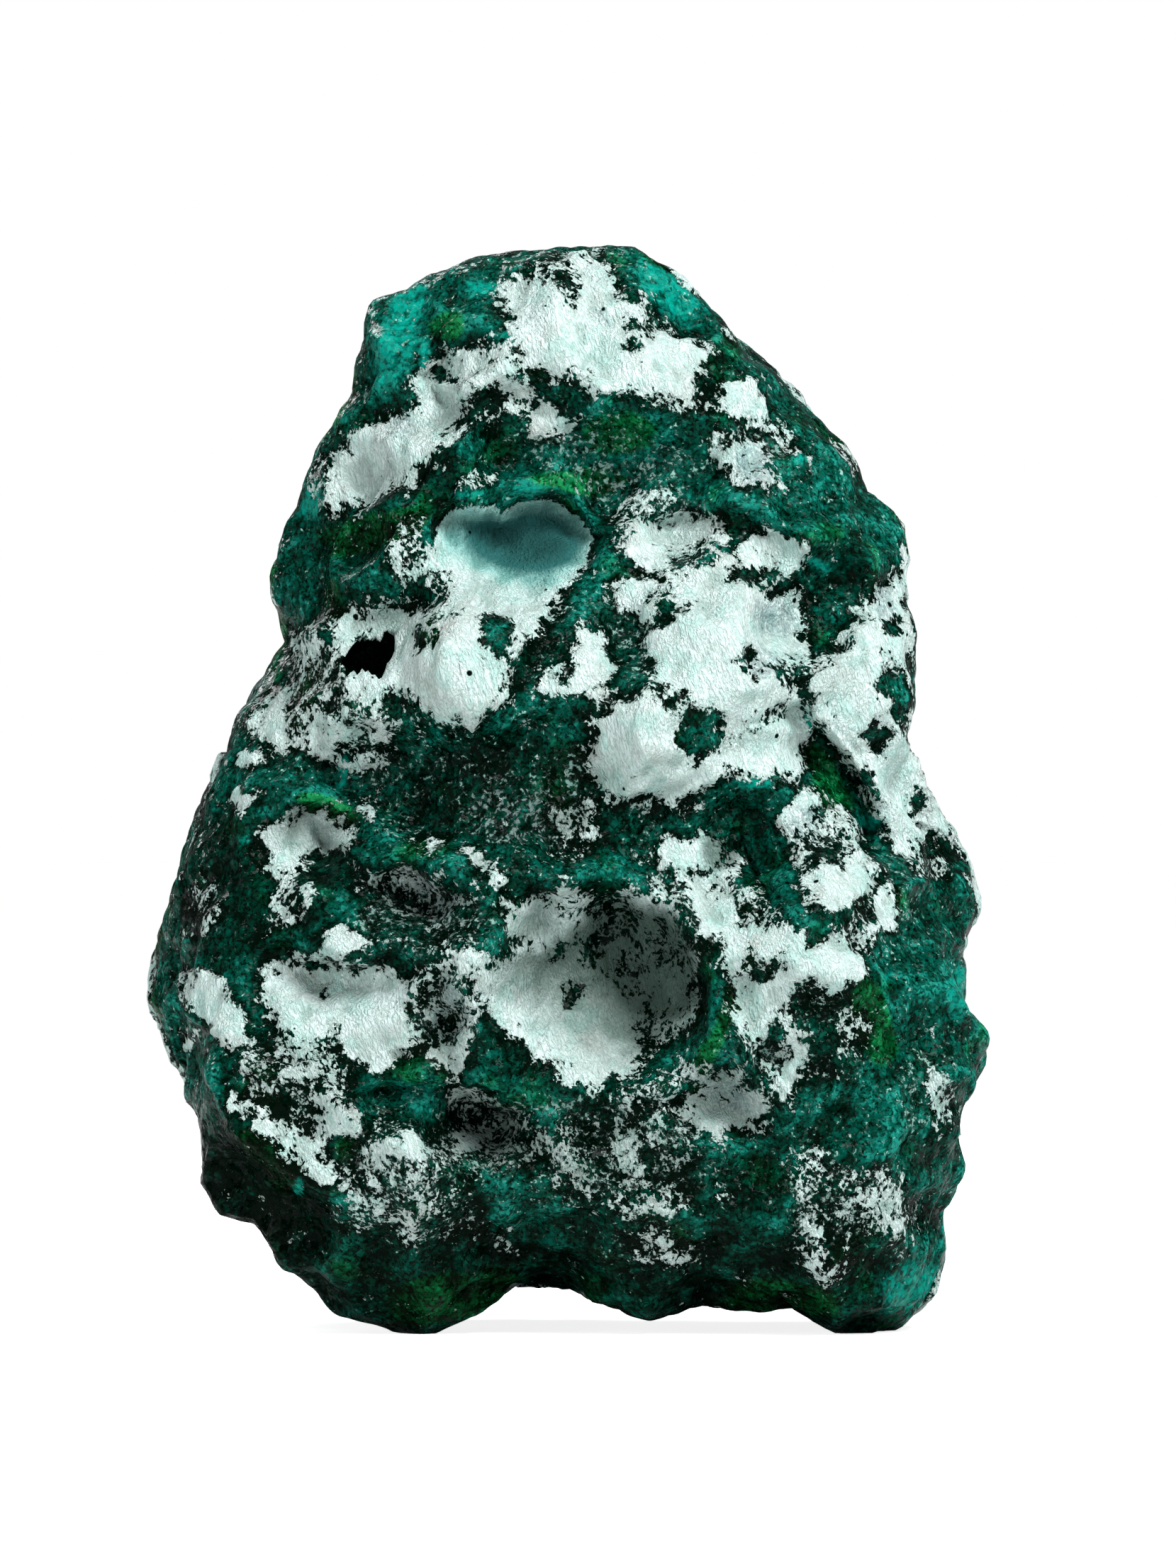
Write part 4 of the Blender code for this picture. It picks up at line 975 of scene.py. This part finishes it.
def stone_surface():
    """The stone in metres with its fine relief, its faces, and what each point is made of, along with
    the light and shade painted on it.
    """
    direction, faces = box_surface()
    points = body_points(direction)
    random = np.random.default_rng(SEED + 1)
    normals = vertex_normals(points, faces)
    forward = -direction[:, 1]
    seen = np.maximum(smooth(*SEEN_FACING, -normals[:, 1]), smooth(*SEEN_FORWARD, forward))
    elsewhere = crust_elsewhere(points, random) - THINNER * smooth(*THINS, forward)
    crust = elsewhere * (1.0 - seen) + crust_on_front(points, random) * seen
    made_of = markings(points, seen, random)
    pit = inside(*seen_from_front(points), PIT) * seen
    # Darker green beside the crust, and painted shade in the black pit.
    made_of["shade"] += smooth(*BESIDE_CRUST, crust) * BESIDE_CRUST_SHADE
    made_of["shade"] += pit * PIT_SHADE
    crust = roughened(crust, points, CRUST_WAVES, random)
    made_of["crust"] = crust

    points = points + normals * fine_relief(points, crust, pit, random)[:, None]
    # Painted shade in creases and painted light on edges: the crease depth, carried as dent.
    dent = crease_depth(points, faces, vertex_normals(points, faces)) / CREASE_SCALE
    made_of["dent"] = np.clip(dent, -CREASE_LIMIT, CREASE_LIMIT)
    middle = (points.min(axis=0) + points.max(axis=0)) / 2
    points[:, :2] -= middle[:2]
    points[:, 2] = np.maximum(points[:, 2], 0.0)
    return points * MM, faces, made_of


def mesh_object(name, points, faces, made_of):
    """A mesh object at the origin with its own numbers on its points."""
    mesh = bpy.data.meshes.new(name)
    corners = faces.shape[1]
    mesh.vertices.add(len(points))
    mesh.loops.add(faces.size)
    mesh.polygons.add(len(faces))
    mesh.vertices.foreach_set("co", points.astype(np.float32).ravel())
    mesh.loops.foreach_set("vertex_index", faces.astype(np.int32).ravel())
    mesh.polygons.foreach_set("loop_start", np.arange(0, faces.size, corners, dtype=np.int32))
    mesh.update(calc_edges=True)
    mesh.validate()
    mesh.shade_smooth()
    for label, values in made_of.items():
        layer = mesh.attributes.new(label, "FLOAT", "POINT")
        layer.data.foreach_set("value", values.astype(np.float32))
    piece = bpy.data.objects.new(name, mesh)
    bpy.context.scene.collection.objects.link(piece)
    return piece


# Materials


def add(tree, kind, inputs=None, **settings):
    """Adds a node and sets it up. An input that is a socket is linked, and any other is a value."""
    made = tree.nodes.new(kind)
    for name, value in settings.items():
        setattr(made, name, value)
    for name, value in (inputs or {}).items():
        if isinstance(value, bpy.types.NodeSocket):
            tree.links.new(value, made.inputs[name])
        else:
            made.inputs[name].default_value = value
    return made


def sums(tree, operation, first, second=0.0, third=0.0, clamp=False):
    """The result of one sum on numbers or sockets."""
    inputs = {0: first, 1: second, 2: third}
    return add(tree, "ShaderNodeMath", inputs, operation=operation, use_clamp=clamp).outputs[0]


def vectors(tree, operation, first, second, third=(0.0, 0.0, 0.0)):
    """The result of one sum on vectors."""
    inputs = {0: first, 1: second, 2: third}
    return add(tree, "ShaderNodeVectorMath", inputs, operation=operation).outputs[0]


def noise(tree, place, scale, detail=2.0, roughness=0.5, lift=0.0):
    """Noise centred on the lift, about one unit from its lowest to its highest."""
    inputs = {"Vector": place, "Scale": scale, "Detail": detail, "Roughness": roughness}
    made = add(tree, "ShaderNodeTexNoise", inputs)
    return sums(tree, "MULTIPLY_ADD", made.outputs["Fac"], 2.0, lift - 1.0)


def total(tree, start, *shares):
    """A number plus a share of each of several others."""
    for value, share in shares:
        start = sums(tree, "MULTIPLY_ADD", value, share, start)
    return start


def step(tree, value, low, high, to_low=0.0, to_high=1.0):
    """A smooth step from low to high."""
    inputs = {"Value": value, "From Min": low, "From Max": high, "To Min": to_low, "To Max": to_high}
    made = add(tree, "ShaderNodeMapRange", inputs, interpolation_type="SMOOTHSTEP")
    return made.outputs["Result"]


def blend(tree, share, first, second, kind="MIX"):
    """The first colour turning into the second as the share goes from 0 to 1."""
    made = add(tree, "ShaderNodeMix", data_type="RGBA", blend_type=kind)
    for socket, value in ((made.inputs[0], share), (made.inputs[6], first), (made.inputs[7], second)):
        if isinstance(value, bpy.types.NodeSocket):
            tree.links.new(value, socket)
        else:
            socket.default_value = value
    return made.outputs[2]


def between(tree, share, first, second):
    """A number that goes from the first to the second as the share goes from 0 to 1."""
    inputs = {0: share, 2: first, 3: second}
    return add(tree, "ShaderNodeMix", inputs, data_type="FLOAT").outputs[0]


def laid(tree, under, colour, value, low, high, at_low=0.0, at_high=1.0):
    """A colour laid over another, where a value goes from low to high."""
    return blend(tree, step(tree, value, low, high, at_low, at_high), under, (*colour, 1.0))


def stretched(tree, place, x, y, z, turn=0.0):
    """The place stretched along each axis after a turn about the front view's own axis."""
    turned = add(tree, "ShaderNodeVectorRotate", {"Vector": place, "Angle": turn},
                 rotation_type="Y_AXIS").outputs[0]
    return vectors(tree, "MULTIPLY", turned, (x, y, z))


def bent_by_noise(tree, place, scale, detail, size):
    """The place moved about by noise, up to the size along each axis."""
    shake = add(tree, "ShaderNodeTexNoise", {"Vector": place, "Scale": scale, "Detail": detail})
    return vectors(tree, "MULTIPLY_ADD", shake.outputs["Color"], (size, size, size), place)


def cells_of(tree, place, scale):
    """A pattern of cells, and three numbers from 0 to 1 that each cell has for itself."""
    cells = add(tree, "ShaderNodeTexVoronoi", {"Vector": place, "Scale": scale})
    return cells, add(tree, "ShaderNodeSeparateColor", {0: cells.outputs["Color"]}).outputs


def new_group(name, inputs, outputs):
    """An empty node group with named sockets, and its input and output nodes."""
    tree = bpy.data.node_groups.new(name, "ShaderNodeTree")
    for label, kind in inputs.items():
        tree.interface.new_socket(label, in_out="INPUT", socket_type=kind)
    for label, kind in outputs.items():
        tree.interface.new_socket(label, in_out="OUTPUT", socket_type=kind)
    return tree, tree.nodes.new("NodeGroupInput").outputs, tree.nodes.new("NodeGroupOutput").inputs


def finish_group(tree, sockets, values):
    """Joins each result to the group's output of that name."""
    for name, value in values.items():
        tree.links.new(value, sockets[name])
    return tree


def place_in_mm():
    """Object coordinates in millimetres."""
    tree, _, given = new_group("Place in millimetres", {}, {"Place": "NodeSocketVector"})
    here = tree.nodes.new("ShaderNodeTexCoord").outputs["Object"]
    scale = {0: here, "Scale": 1.0 / MM}
    place = add(tree, "ShaderNodeVectorMath", scale, operation="SCALE").outputs[0]
    return finish_group(tree, given, {"Place": place})


def ragged_edge():
    """Where the crust is: how sure it is plus noise of several sizes, cut off sharply at 0."""
    tree, use, given = new_group(
        "Ragged edge",
        {"Crust": "NodeSocketFloat", "Place": "NodeSocketVector"},
        {"Mask": "NodeSocketFloat", "Depth": "NodeSocketFloat"})
    bent = stretched(tree, use["Place"], 1.0, 1.0, 0.8, 0.5)
    torn = bent_by_noise(tree, bent, 2.5, 3.0, 0.7)
    depth = total(tree, use["Crust"], (noise(tree, bent, 0.95, 3.0, 0.65), 0.6),
                  (noise(tree, bent, 4.0, 2.0, 0.6), 0.4))
    for scale, share in ((1.8, 0.5), (4.2, 0.6)):
        _, chance = cells_of(tree, torn, scale)
        depth = total(tree, sums(tree, "ADD", depth, -share / 2), (chance[0], share))
    mask = step(tree, depth, -0.03, 0.07)
    return finish_group(tree, given, {"Mask": mask, "Depth": depth})


def broken_faces(tree, place, scale):
    """Cells with a flat face each, tilted its own way: how far along its tilt a place lies."""
    cells, pick = cells_of(tree, place, scale)
    tilt = vectors(tree, "SUBTRACT", cells.outputs["Color"], (0.5, 0.5, 0.5))
    away = vectors(tree, "SUBTRACT", place, cells.outputs["Position"])
    face = add(tree, "ShaderNodeVectorMath", {0: tilt, 1: away}, operation="DOT_PRODUCT")
    return cells.outputs["Distance"], pick, face.outputs["Value"]


def dioptase_grain(settings):
    """Granular green stone: cells of differing green with darker joints and pale flecks, with painted
    shade and a painted teal glow over them.
    """
    tree, use, given = new_group(
        "Dioptase grain",
        {"Place": "NodeSocketVector", "Shade": "NodeSocketFloat", "Glow": "NodeSocketFloat",
         "Leaf": "NodeSocketFloat", "Fleck": "NodeSocketFloat", "Dent": "NodeSocketFloat"},
        {"Color": "NodeSocketColor", "Height": "NodeSocketFloat", "Roughness": "NodeSocketFloat"})
    place = use["Place"]
    bent = bent_by_noise(tree, place, 1.4, 2.0, 0.5)
    distance, pick, face = broken_faces(tree, bent, 1.15)
    small_distance, pick_small, small_face = broken_faces(tree, bent, 2.7)
    broad = noise(tree, place, 0.4, 3.0, 0.6)
    fine = noise(tree, bent, 2.2, 2.0, 0.5)

    pitted = step(tree, noise(tree, bent, 3.6, 3.0, 0.65), 0.02, 0.3)
    joint = step(tree, small_distance, 0.35, 0.75)
    # The lightness holds painted light and shade as well as the grain's own tones: darker in creases
    # and lighter on edges by Dent, darker by Shade, which is painted shade and the darker green beside
    # the crust, and lighter by the painted Glow.
    light = total(tree, 0.31, (pick[0], 0.3), (pick_small[0], 0.34), (broad, 0.4), (fine, 0.36),
                  (pitted, -0.56), (joint, -0.16), (use["Dent"], -0.16), (use["Shade"], -0.4),
                  (use["Glow"], 0.25), (use["Leaf"], 0.07))
    ramp = tree.nodes.new("ShaderNodeValToRGB")
    tree.links.new(light, ramp.inputs[0])
    stops = ((0.0, settings.green_deep), (0.36, settings.green_dark), (0.7, settings.green_middle),
             (1.0, settings.green_pale))
    while len(ramp.color_ramp.elements) < len(stops):
        ramp.color_ramp.elements.new(0.5)
    for element, (at, colour) in zip(ramp.color_ramp.elements, stops):
        element.position = at
        element.color = (*colour, 1.0)
    colour = ramp.outputs["Color"]

    yellow = total(tree, noise(tree, place, 0.22, 2.0, lift=-0.1), (use["Leaf"], 0.8))
    leafy = blend(tree, 1.0, colour, (*settings.green_leaf, 1.0), "MULTIPLY")
    colour = blend(tree, step(tree, yellow, 0.0, 0.45), colour, leafy)
    # Painted light: teal laid where light would come through thin edges.
    shine = total(tree, use["Glow"], (fine, 1.0), (pick_small[1], 0.7))
    shine = sums(tree, "MULTIPLY", step(tree, shine, 0.6, 2.0), use["Glow"])
    colour = blend(tree, shine, colour, (*settings.teal, 1.0))

    speck_noise = noise(tree, bent, 3.0, 3.0, 0.6)
    speck = total(tree, speck_noise, (noise(tree, place, 0.9, 2.0), 0.4), (use["Shade"], -0.12),
                  (use["Fleck"], 0.34))
    greyer = blend(tree, use["Fleck"], (*settings.fleck, 1.0), (*settings.grey_fleck, 1.0))
    greyer = laid(tree, greyer, settings.fleck, speck_noise, 0.3, 0.6)
    colour = blend(tree, step(tree, speck, 0.16, 0.36, 0.0, 0.1), colour, greyer)
    colour = blend(tree, step(tree, speck, 0.36, 0.45), colour, greyer)

    height = total(tree, 0.0, (face, 0.75), (small_face, 0.6), (distance, -0.06))
    rough = total(tree, 0.12, (pick_small[2], 0.15))
    return finish_group(tree, given, {"Color": colour, "Height": height, "Roughness": rough})


def chalky_crust(settings):
    """A dull white crust: fibrous folds, thin grey edges, mottled stains and a few dark dots, with
    painted shade in creases, in dim hollows and in the heart.
    """
    tree, use, given = new_group(
        "Chalky crust",
        {"Place": "NodeSocketVector", "Depth": "NodeSocketFloat", "Stain": "NodeSocketFloat",
         "Tint": "NodeSocketFloat", "Dusk": "NodeSocketFloat", "Dent": "NodeSocketFloat"},
        {"Color": "NodeSocketColor", "Height": "NodeSocketFloat"})
    place = use["Place"]
    fibres = noise(tree, stretched(tree, place, 2.6, 2.6, 0.7, 0.3), 1.0, 3.0, 0.6)
    ridge = sums(tree, "ABSOLUTE", fibres)
    cloud = noise(tree, place, 0.5, 3.0)
    fine = noise(tree, place, 4.5, 3.0, 0.6)
    greyer = noise(tree, place, 0.28, 4.0, 0.6)
    minted = total(tree, cloud, (fibres, 0.6))
    mottled = total(tree, use["Stain"], (fine, 1.1), (fibres, 0.5), (cloud, 0.3))
    # Painted shade: the crust dimmed in shaded hollows, and the heart darkened under its upper wall.
    dusk = total(tree, use["Dusk"], (cloud, 0.1), (fine, 0.12))
    tint = total(tree, use["Tint"], (cloud, 0.12), (fine, 0.06))

    colour = laid(tree, (*settings.crust_white, 1.0), settings.crust_mint, minted, -0.12, 0.4)
    colour = laid(tree, colour, settings.crust_warm, greyer, 0.0, 0.45, at_high=0.8)
    colour = laid(tree, colour, settings.crust_shade, ridge, 0.0, 0.09, 0.5, 0.0)
    # Painted shade: the crust darkened in creases.
    colour = laid(tree, colour, settings.crust_shade, use["Dent"], 0.1, 1.1, at_high=0.4)
    colour = laid(tree, colour, settings.stain, mottled, 0.7, 1.3, at_high=0.6)
    colour = laid(tree, colour, settings.crust_shade, use["Depth"], 0.0, 0.4, 0.6, 0.0)
    # Painted shade: the dimmed crust, then the heart going cooler, teal and deepest as it darkens.
    colour = laid(tree, colour, settings.crust_dusk, dusk, -0.05, 1.0)
    cooler = blend(tree, 1.0, colour, (*settings.crust_cool, 1.0), "MULTIPLY")
    colour = blend(tree, step(tree, tint, 0.0, 0.45), colour, cooler)
    colour = laid(tree, colour, settings.crust_over_green, tint, 0.25, 0.7)
    colour = laid(tree, colour, settings.crust_deep, tint, 0.7, 1.0)
    dots, chance = cells_of(tree, place, 0.75)
    size = step(tree, chance[0], 0.8, 1.0, 0.0, 0.16)
    dot = step(tree, sums(tree, "SUBTRACT", dots.outputs["Distance"], size), -0.03, 0.03, 1.0, 0.0)
    colour = blend(tree, dot, colour, (*settings.green_deep, 1.0))

    height = total(tree, 0.0, (ridge, 0.42), (cloud, 0.3), (fine, 0.08), (dot, -0.12))
    return finish_group(tree, given, {"Color": colour, "Height": height})


def carried(tree, *names):
    """Numbers that the mesh carries on its points, for a group's inputs of the same names."""
    return {name: add(tree, "ShaderNodeAttribute", attribute_name=name.lower()).outputs["Fac"]
            for name in names}


def use_group(tree, group, inputs=None):
    """Places a node group and fills its inputs."""
    made = tree.nodes.new("ShaderNodeGroup")
    made.node_tree = group
    for name, value in (inputs or {}).items():
        tree.links.new(value, made.inputs[name])
    return made.outputs


def shared_group(name, make, *arguments):
    """The node group of that name, made the first time it is asked for."""
    return bpy.data.node_groups.get(name) or make(*arguments)


# How high the crust's edge stands in the bump, in millimetres.
CRUST_STEP = 0.1


def crusted_dioptase(settings):
    """The stone: glossy green grain wherever the dull crust doesn't cover it."""
    material = bpy.data.materials.new("crusted dioptase")
    material.use_nodes = True
    tree = material.node_tree
    shader = tree.nodes["Principled BSDF"]
    place = use_group(tree, shared_group("Place in millimetres", place_in_mm))["Place"]
    edge = use_group(tree, shared_group("Ragged edge", ragged_edge),
                     {"Place": place, **carried(tree, "Crust")})
    green = use_group(tree, shared_group("Dioptase grain", dioptase_grain, settings),
                      {"Place": place, **carried(tree, "Shade", "Glow", "Leaf", "Fleck", "Dent")})
    crust = use_group(tree, shared_group("Chalky crust", chalky_crust, settings),
                      {"Place": place, "Depth": edge["Depth"],
                       **carried(tree, "Stain", "Tint", "Dusk", "Dent")})
    colour = blend(tree, edge["Mask"], green["Color"], crust["Color"])
    raised = total(tree, crust["Height"], (edge["Mask"], CRUST_STEP))
    height = between(tree, edge["Mask"], green["Height"], raised)
    rough = between(tree, edge["Mask"], green["Roughness"], settings.crust_roughness)
    bump = add(tree, "ShaderNodeBump", {"Strength": 1.0, "Distance": MM, "Height": height})
    tree.links.new(colour, shader.inputs["Base Color"])
    tree.links.new(rough, shader.inputs["Roughness"])
    tree.links.new(bump.outputs["Normal"], shader.inputs["Normal"])
    shader.inputs["Metallic"].default_value = 0.0
    shader.inputs["Specular IOR Level"].default_value = 0.03
    material.diffuse_color = (*settings.green_middle, 1.0)
    return material


def table_white(settings):
    """The floor: pale, and shown to the camera as bright as the background where it is unshaded."""
    material = bpy.data.materials.new("pale table")
    material.use_nodes = True
    tree = material.node_tree
    shader = tree.nodes["Principled BSDF"]
    shader.inputs["Base Color"].default_value = (0.93, 0.93, 0.93, 1.0)
    shader.inputs["Roughness"].default_value = 0.9
    shader.inputs["Specular IOR Level"].default_value = 0.1
    lift = add(tree, "ShaderNodeEmission", {"Strength": settings.table_lift})
    seen = tree.nodes.new("ShaderNodeLightPath").outputs["Is Camera Ray"]
    unlit = add(tree, "ShaderNodeEmission", {"Strength": 0.0})
    shown = add(tree, "ShaderNodeMixShader", {0: seen, 1: unlit.outputs[0], 2: lift.outputs[0]})
    both = add(tree, "ShaderNodeAddShader", {0: shader.outputs[0], 1: shown.outputs[0]})
    tree.links.new(both.outputs[0], tree.nodes["Material Output"].inputs["Surface"])
    return material


# Settings


def colour_setting(name, description, default):
    """A colour that a user can change."""
    return bpy.props.FloatVectorProperty(
        name=name, description=description, default=default, subtype="COLOR", size=3,
        min=0.0, max=1.0)


class DioptaseSettings(bpy.types.PropertyGroup):
    """Sizes and colours of the stone that a user would change."""

    crust_thickness: bpy.props.FloatProperty(
        name="Crust thickness", description="How far the pale crust stands on the green stone",
        default=0.00014, unit="LENGTH", precision=5)
    fold_height: bpy.props.FloatProperty(
        name="Fold height", description="How high the crust's folds are",
        default=0.00016, unit="LENGTH", precision=5)
    grain_height: bpy.props.FloatProperty(
        name="Grain height", description="How rough the broken green faces are",
        default=0.001, unit="LENGTH", precision=5)
    crust_roughness: bpy.props.FloatProperty(
        name="Crust roughness", description="How dull the crust is, from 0 to 1", default=0.92)
    green_deep: colour_setting("Deep green", "The darkest grains and pits", (0.0001, 0.004, 0.0018))
    green_dark: colour_setting("Dark green", "Grains in shade", (0.0002, 0.028, 0.016))
    green_middle: colour_setting("Middle green", "Most grains", (0.001, 0.088, 0.062))
    green_pale: colour_setting("Pale green", "The lightest grains", (0.012, 0.26, 0.20))
    green_leaf: colour_setting("Leaf tint", "Multiplies the green where it is yellower",
                               (0.9, 1.0, 0.38))
    # Painted light: the teal laid on thin edges.
    teal: colour_setting("Teal", "Thin edges that light comes through", (0.001, 0.33, 0.25))
    fleck: colour_setting("Fleck", "Tiny pale flecks on the green", (0.28, 0.56, 0.48))
    grey_fleck: colour_setting("Grey fleck", "The flecks where they lie close", (0.13, 0.19, 0.18))
    crust_white: colour_setting("Crust", "The crust where it is thick", (0.74, 0.91, 0.88))
    crust_mint: colour_setting("Crust, minty", "The crust where it is tinted", (0.54, 0.81, 0.75))
    crust_shade: colour_setting("Crust, thin", "The crust's edges and cracks", (0.26, 0.37, 0.33))
    # Painted shade: the crust of the heart's shaded hollow, teal where the green shows through and
    # deepest in its middle, and the crust dimmed in other hollows.
    crust_over_green: colour_setting("Crust, over green", "The crust where the stone shows through",
                                     (0.032, 0.155, 0.148))
    crust_deep: colour_setting("Crust, deep", "The crust in the deepest part of the heart",
                               (0.02, 0.095, 0.09))
    crust_dusk: colour_setting("Crust, dim", "The crust in the dimmest places", (0.075, 0.12, 0.10))
    crust_warm: colour_setting("Crust, warm", "The crust where it is greyer", (0.58, 0.64, 0.61))
    # Painted shade: the cooler hue of the heart's shaded hollow.
    crust_cool: colour_setting("Crust, cool tint", "Multiplies the crust round the heart's deep part",
                               (0.52, 0.84, 0.82))
    stain: colour_setting("Stain", "Blue-grey stains on the crust", (0.17, 0.27, 0.31))


class StudioSettings(bpy.types.PropertyGroup):
    """The table, the light and the camera."""

    table_radius: bpy.props.FloatProperty(
        name="Table radius", description="Radius of the pale floor", default=6.0, unit="LENGTH")
    table_lift: bpy.props.FloatProperty(
        name="Table lift", description="How much brighter the floor shows to the camera",
        default=0.85)
    key_power: bpy.props.FloatProperty(
        name="Key light", description="Power of the light at the upper right, in watts",
        default=3.5)
    fill_power: bpy.props.FloatProperty(
        name="Fill light", description="Power of the light at the left, in watts", default=0.5)
    back_power: bpy.props.FloatProperty(
        name="Back light", description="Power of the light behind the stone, in watts", default=1.6)
    sky: bpy.props.FloatProperty(
        name="Surrounding light", description="Strength of the even white light all round",
        default=0.16)
    camera_distance: bpy.props.FloatProperty(
        name="Camera distance", description="From the camera to the stone's middle",
        default=VIEW_DISTANCE * MM, unit="LENGTH")
    view_height: bpy.props.FloatProperty(
        name="View height", description="Height of the view at the stone's middle",
        default=0.1106, unit="LENGTH")


class DIOPTASE_OT_stone(bpy.types.Operator):
    """Build the broken stone with its green grain and pale crust"""

    bl_idname = "dioptase.stone"
    bl_label = "Stone"
    bl_options = {"REGISTER", "UNDO"}

    def execute(self, context):
        points, faces, made_of = stone_surface()
        stone = mesh_object("crusted_stone", points, faces, made_of)
        stone.data.materials.append(crusted_dioptase(context.scene.dioptase))
        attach(stone, "root")
        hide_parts(STONE_NODE)
        return {"FINISHED"}


def disc(name, radius, sides=96):
    """A flat disc at height 0: one ring of corners and one face."""
    turn = np.linspace(0.0, 2 * math.pi, sides, endpoint=False)
    ring = np.stack([radius * np.cos(turn), radius * np.sin(turn), 0 * turn], axis=1)
    mesh = bpy.data.meshes.new(name)
    mesh.from_pydata(ring.tolist(), [], [list(range(sides))])
    made = bpy.data.objects.new(name, mesh)
    bpy.context.scene.collection.objects.link(made)
    return made


# The lamps: where each one stands and how wide it is, in metres. They all face the stone.
LIGHTS_FACE = (0.0, 0.0, 0.036)
KEY_LIGHT = ((0.20, -0.28, 0.43), 0.24)
FILL_LIGHT = ((-0.40, -0.35, 0.16), 0.30)
BACK_LIGHT = ((-0.22, 0.42, 0.36), 0.20)


def soft_light(name, place, size, power):
    """A square lamp that faces the stone."""
    lamp = bpy.data.lights.new(name, "AREA")
    lamp.size = size
    lamp.energy = power
    made = bpy.data.objects.new(name, lamp)
    made.location = place
    aim = Vector(LIGHTS_FACE) - Vector(place)
    made.rotation_euler = aim.to_track_quat("-Z", "Y").to_euler()
    bpy.context.scene.collection.objects.link(made)


def white_world(strength):
    """An even white surround that shows pure white and lights the stone with its strength."""
    world = bpy.data.worlds.new("white surround")
    world.use_nodes = True
    tree = world.node_tree
    lighting = tree.nodes["Background"]
    lighting.inputs["Color"].default_value = (1.0, 1.0, 1.0, 1.0)
    lighting.inputs["Strength"].default_value = strength
    shown = add(tree, "ShaderNodeBackground", {"Color": (1.0, 1.0, 1.0, 1.0), "Strength": 1.0})
    seen = tree.nodes.new("ShaderNodeLightPath").outputs["Is Camera Ray"]
    both = add(tree, "ShaderNodeMixShader", {0: seen, 1: lighting.outputs[0], 2: shown.outputs[0]})
    tree.links.new(both.outputs[0], tree.nodes["World Output"].inputs["Surface"])
    return world


class DIOPTASE_OT_studio(bpy.types.Operator):
    """Set up the pale table, the soft light and the camera"""

    bl_idname = "dioptase.studio"
    bl_label = "Studio"
    bl_options = {"REGISTER", "UNDO"}

    def execute(self, context):
        scene = context.scene
        studio = scene.studio
        table = disc("table", studio.table_radius)
        table.data.materials.append(table_white(studio))
        soft_light("key light", *KEY_LIGHT, studio.key_power)
        soft_light("fill light", *FILL_LIGHT, studio.fill_power)
        soft_light("back light", *BACK_LIGHT, studio.back_power)
        scene.world = white_world(studio.sky)
        scene.view_settings.view_transform = "Standard"
        camera = bpy.data.cameras.new("camera")
        camera.lens = camera.sensor_width * studio.camera_distance / studio.view_height
        camera.clip_end = 20.0
        eye = bpy.data.objects.new("camera", camera)
        eye.location = (VIEW_MIDDLE[0] * MM, -studio.camera_distance, VIEW_MIDDLE[1] * MM)
        eye.rotation_euler = (math.pi / 2, 0.0, 0.0)
        scene.collection.objects.link(eye)
        scene.camera = eye
        return {"FINISHED"}


class DIOPTASE_PT_panel(bpy.types.Panel):
    """Lists the stone's settings and the steps that build it"""

    bl_label = "Dioptase Specimen"
    bl_idname = "DIOPTASE_PT_panel"
    bl_space_type = "VIEW_3D"
    bl_region_type = "UI"
    bl_category = "Specimen"

    def draw(self, context):
        scene = context.scene
        for settings, steps in ((scene.dioptase, STONE_STEPS), (scene.studio, STUDIO_STEPS)):
            box = self.layout.box()
            for name in settings.bl_rna.properties.keys():
                if name not in ("rna_type", "name"):
                    box.prop(settings, name)
            for step_class in steps:
                box.operator(step_class.bl_idname)


STONE_STEPS = (DIOPTASE_OT_stone,)
STUDIO_STEPS = (DIOPTASE_OT_studio,)
CLASSES = (DioptaseSettings, StudioSettings, *STONE_STEPS, *STUDIO_STEPS, DIOPTASE_PT_panel)


def register():
    """Adds the classes, and the settings to every scene."""
    for made in CLASSES:
        bpy.utils.register_class(made)
    bpy.types.Scene.dioptase = bpy.props.PointerProperty(type=DioptaseSettings)
    bpy.types.Scene.studio = bpy.props.PointerProperty(type=StudioSettings)


def unregister():
    """Takes the settings and the classes away again."""
    del bpy.types.Scene.studio
    del bpy.types.Scene.dioptase
    for made in reversed(CLASSES):
        bpy.utils.unregister_class(made)


def main():
    """Builds the stone and the studio."""
    register()
    bpy.ops.dioptase.stone()
    bpy.ops.dioptase.studio()


if __name__ == "__main__":
    main()
